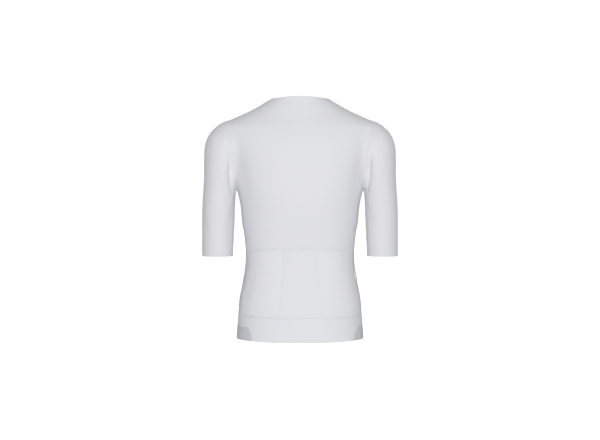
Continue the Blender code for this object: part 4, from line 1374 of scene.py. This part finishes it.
@dataclass
class Findings:
    """The slider and its pull, with their edges worn smooth."""

    finishes: Finishes
    rounding: float = 0.35
    segments: int = 3
    merged: float = 0.01
    flat_angle: float = 2.0
    smooth_angle: float = 40.0

    def build(self) -> None:
        """Make both."""
        self.smoothed("zip_slider", "slider_body", BODY, Wardrobe.METAL)
        self.smoothed("zip_pull", "pull_tab", PULL_BODY, Wardrobe.PLASTIC)

    def smoothed(self, node: str, name: str, body: str, finish: Wardrobe) -> None:
        """Stand a round-edged piece in for a CAD node.

        Args:
            node: the CAD node.
            name: the piece's name.
            body: the body it rides on.
            finish: what it is made of.
        """
        source = bpy.data.objects[node]
        mesh = source.data.copy()
        mesh.transform(source.matrix_world)
        mesh.materials.clear()
        builder = bmesh.new()
        builder.from_mesh(mesh)
        bmesh.ops.remove_doubles(builder, verts=builder.verts, dist=self.merged * MM)
        bmesh.ops.dissolve_limit(builder, angle_limit=math.radians(self.flat_angle), verts=builder.verts,
                                 edges=builder.edges)
        bmesh.ops.recalc_face_normals(builder, faces=builder.faces)
        builder.to_mesh(mesh)
        builder.free()
        made = linked(name, mesh)
        bpy.ops.object.select_all(action="DESELECT")
        made.select_set(True)
        bpy.context.view_layer.objects.active = made
        bevel = made.modifiers.new("rounding", "BEVEL")
        bevel.width = self.rounding * MM
        bevel.segments = self.segments
        bevel.limit_method = "ANGLE"
        bpy.ops.object.modifier_apply(modifier="rounding")
        bpy.ops.object.shade_smooth_by_angle(angle=math.radians(self.smooth_angle))
        self.finishes.dress(made, finish, body)
        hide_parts(node)
        LOG.info("%s: %d faces", name, len(made.data.polygons))


@dataclass(frozen=True)
class Lamp:
    """A square lamp, in metres and watts."""

    name: str
    place: tuple[float, float, float]
    power: float
    size: float = 1.4


@dataclass(frozen=True)
class Studio:
    """The plain white set: floor, light and camera."""

    eye: tuple[float, float, float] = (0.0, 3.3, -0.2276)
    lens: float = 74.8
    shift: float = -0.05
    ambient: float = 0.42
    backdrop: float = 1.05
    floor_size: float = 60.0
    floor_height: float = -1.25
    lit_point: tuple[float, float, float] = (0.0, 0.0, -0.3)
    lamps: tuple[Lamp, ...] = (
        Lamp("back_light", (-0.15, 4.2, 0.0), 103.0),
        Lamp("front_light", (0.2, -4.2, 0.4), 80.0),
    )

    def build(self) -> None:
        """Make the set."""
        self.floor()
        self.room()
        for lamp in self.lamps:
            self.light(lamp)
        self.camera()

    def floor(self) -> None:
        """Lay a wide white floor well below the hem."""
        floor = primitive(bpy.ops.mesh.primitive_plane_add, size=self.floor_size,
                          location=(0.0, 0.0, self.floor_height))
        floor.name = "floor"
        finish = Finish("white_floor", (0.95, 0.95, 0.95), 0.9)
        finish.put("Emission Color", (1.0, 1.0, 1.0, 1.0))
        finish.put("Emission Strength", 1.0)
        floor.data.materials.append(finish.material)
        floor.visible_diffuse = False
        floor.visible_glossy = False
        floor.visible_shadow = False

    def room(self) -> None:
        """Make the room white to look at, with an even soft light of its own."""
        scene = bpy.context.scene
        scene.view_settings.view_transform = "Standard"
        world = bpy.data.worlds.new("white_room")
        scene.world = world
        world.use_nodes = True
        tree = world.node_tree
        tree.nodes.clear()
        mix = tree.nodes.new("ShaderNodeMixShader")
        backgrounds = (((0.975, 0.985, 1.0, 1.0), self.ambient), ((1.0, 1.0, 1.0, 1.0), self.backdrop))
        for slot, (colour, strength) in enumerate(backgrounds, 1):
            background = tree.nodes.new("ShaderNodeBackground")
            background.inputs["Color"].default_value = colour
            background.inputs["Strength"].default_value = strength
            tree.links.new(background.outputs[0], mix.inputs[slot])
        path = tree.nodes.new("ShaderNodeLightPath")
        end = tree.nodes.new("ShaderNodeOutputWorld")
        tree.links.new(path.outputs["Is Camera Ray"], mix.inputs[0])
        tree.links.new(mix.outputs[0], end.inputs[0])

    def light(self, lamp: Lamp) -> None:
        """Hang a lamp, turned to the jersey."""
        data = bpy.data.lights.new(lamp.name, "AREA")
        data.size = lamp.size
        data.energy = lamp.power
        holder = linked(lamp.name, data)
        holder.location = lamp.place
        aim = Vector(self.lit_point) - Vector(lamp.place)
        holder.rotation_euler = aim.to_track_quat("-Z", "Y").to_euler()

    def camera(self) -> None:
        """Set the camera level, behind the jersey, at the height of its chest."""
        data = bpy.data.cameras.new("camera")
        data.lens = self.lens
        data.shift_y = self.shift
        data.dof.use_dof = False
        holder = linked("camera", data)
        holder.location = self.eye
        holder.rotation_euler = (math.radians(90.0), 0.0, math.radians(180.0))
        bpy.context.scene.camera = holder


def main() -> None:
    """Build the jersey and its set."""
    logging.basicConfig(level=logging.INFO, format="%(message)s")
    bpy.ops.object.select_all(action="DESELECT")
    jersey = Jersey()
    jersey.panels()
    jersey.pockets()
    jersey.fastening()
    Findings(jersey.finishes).build()
    jersey.tab()
    jersey.seams()
    Studio().build()


if __name__ == "__main__":
    main()
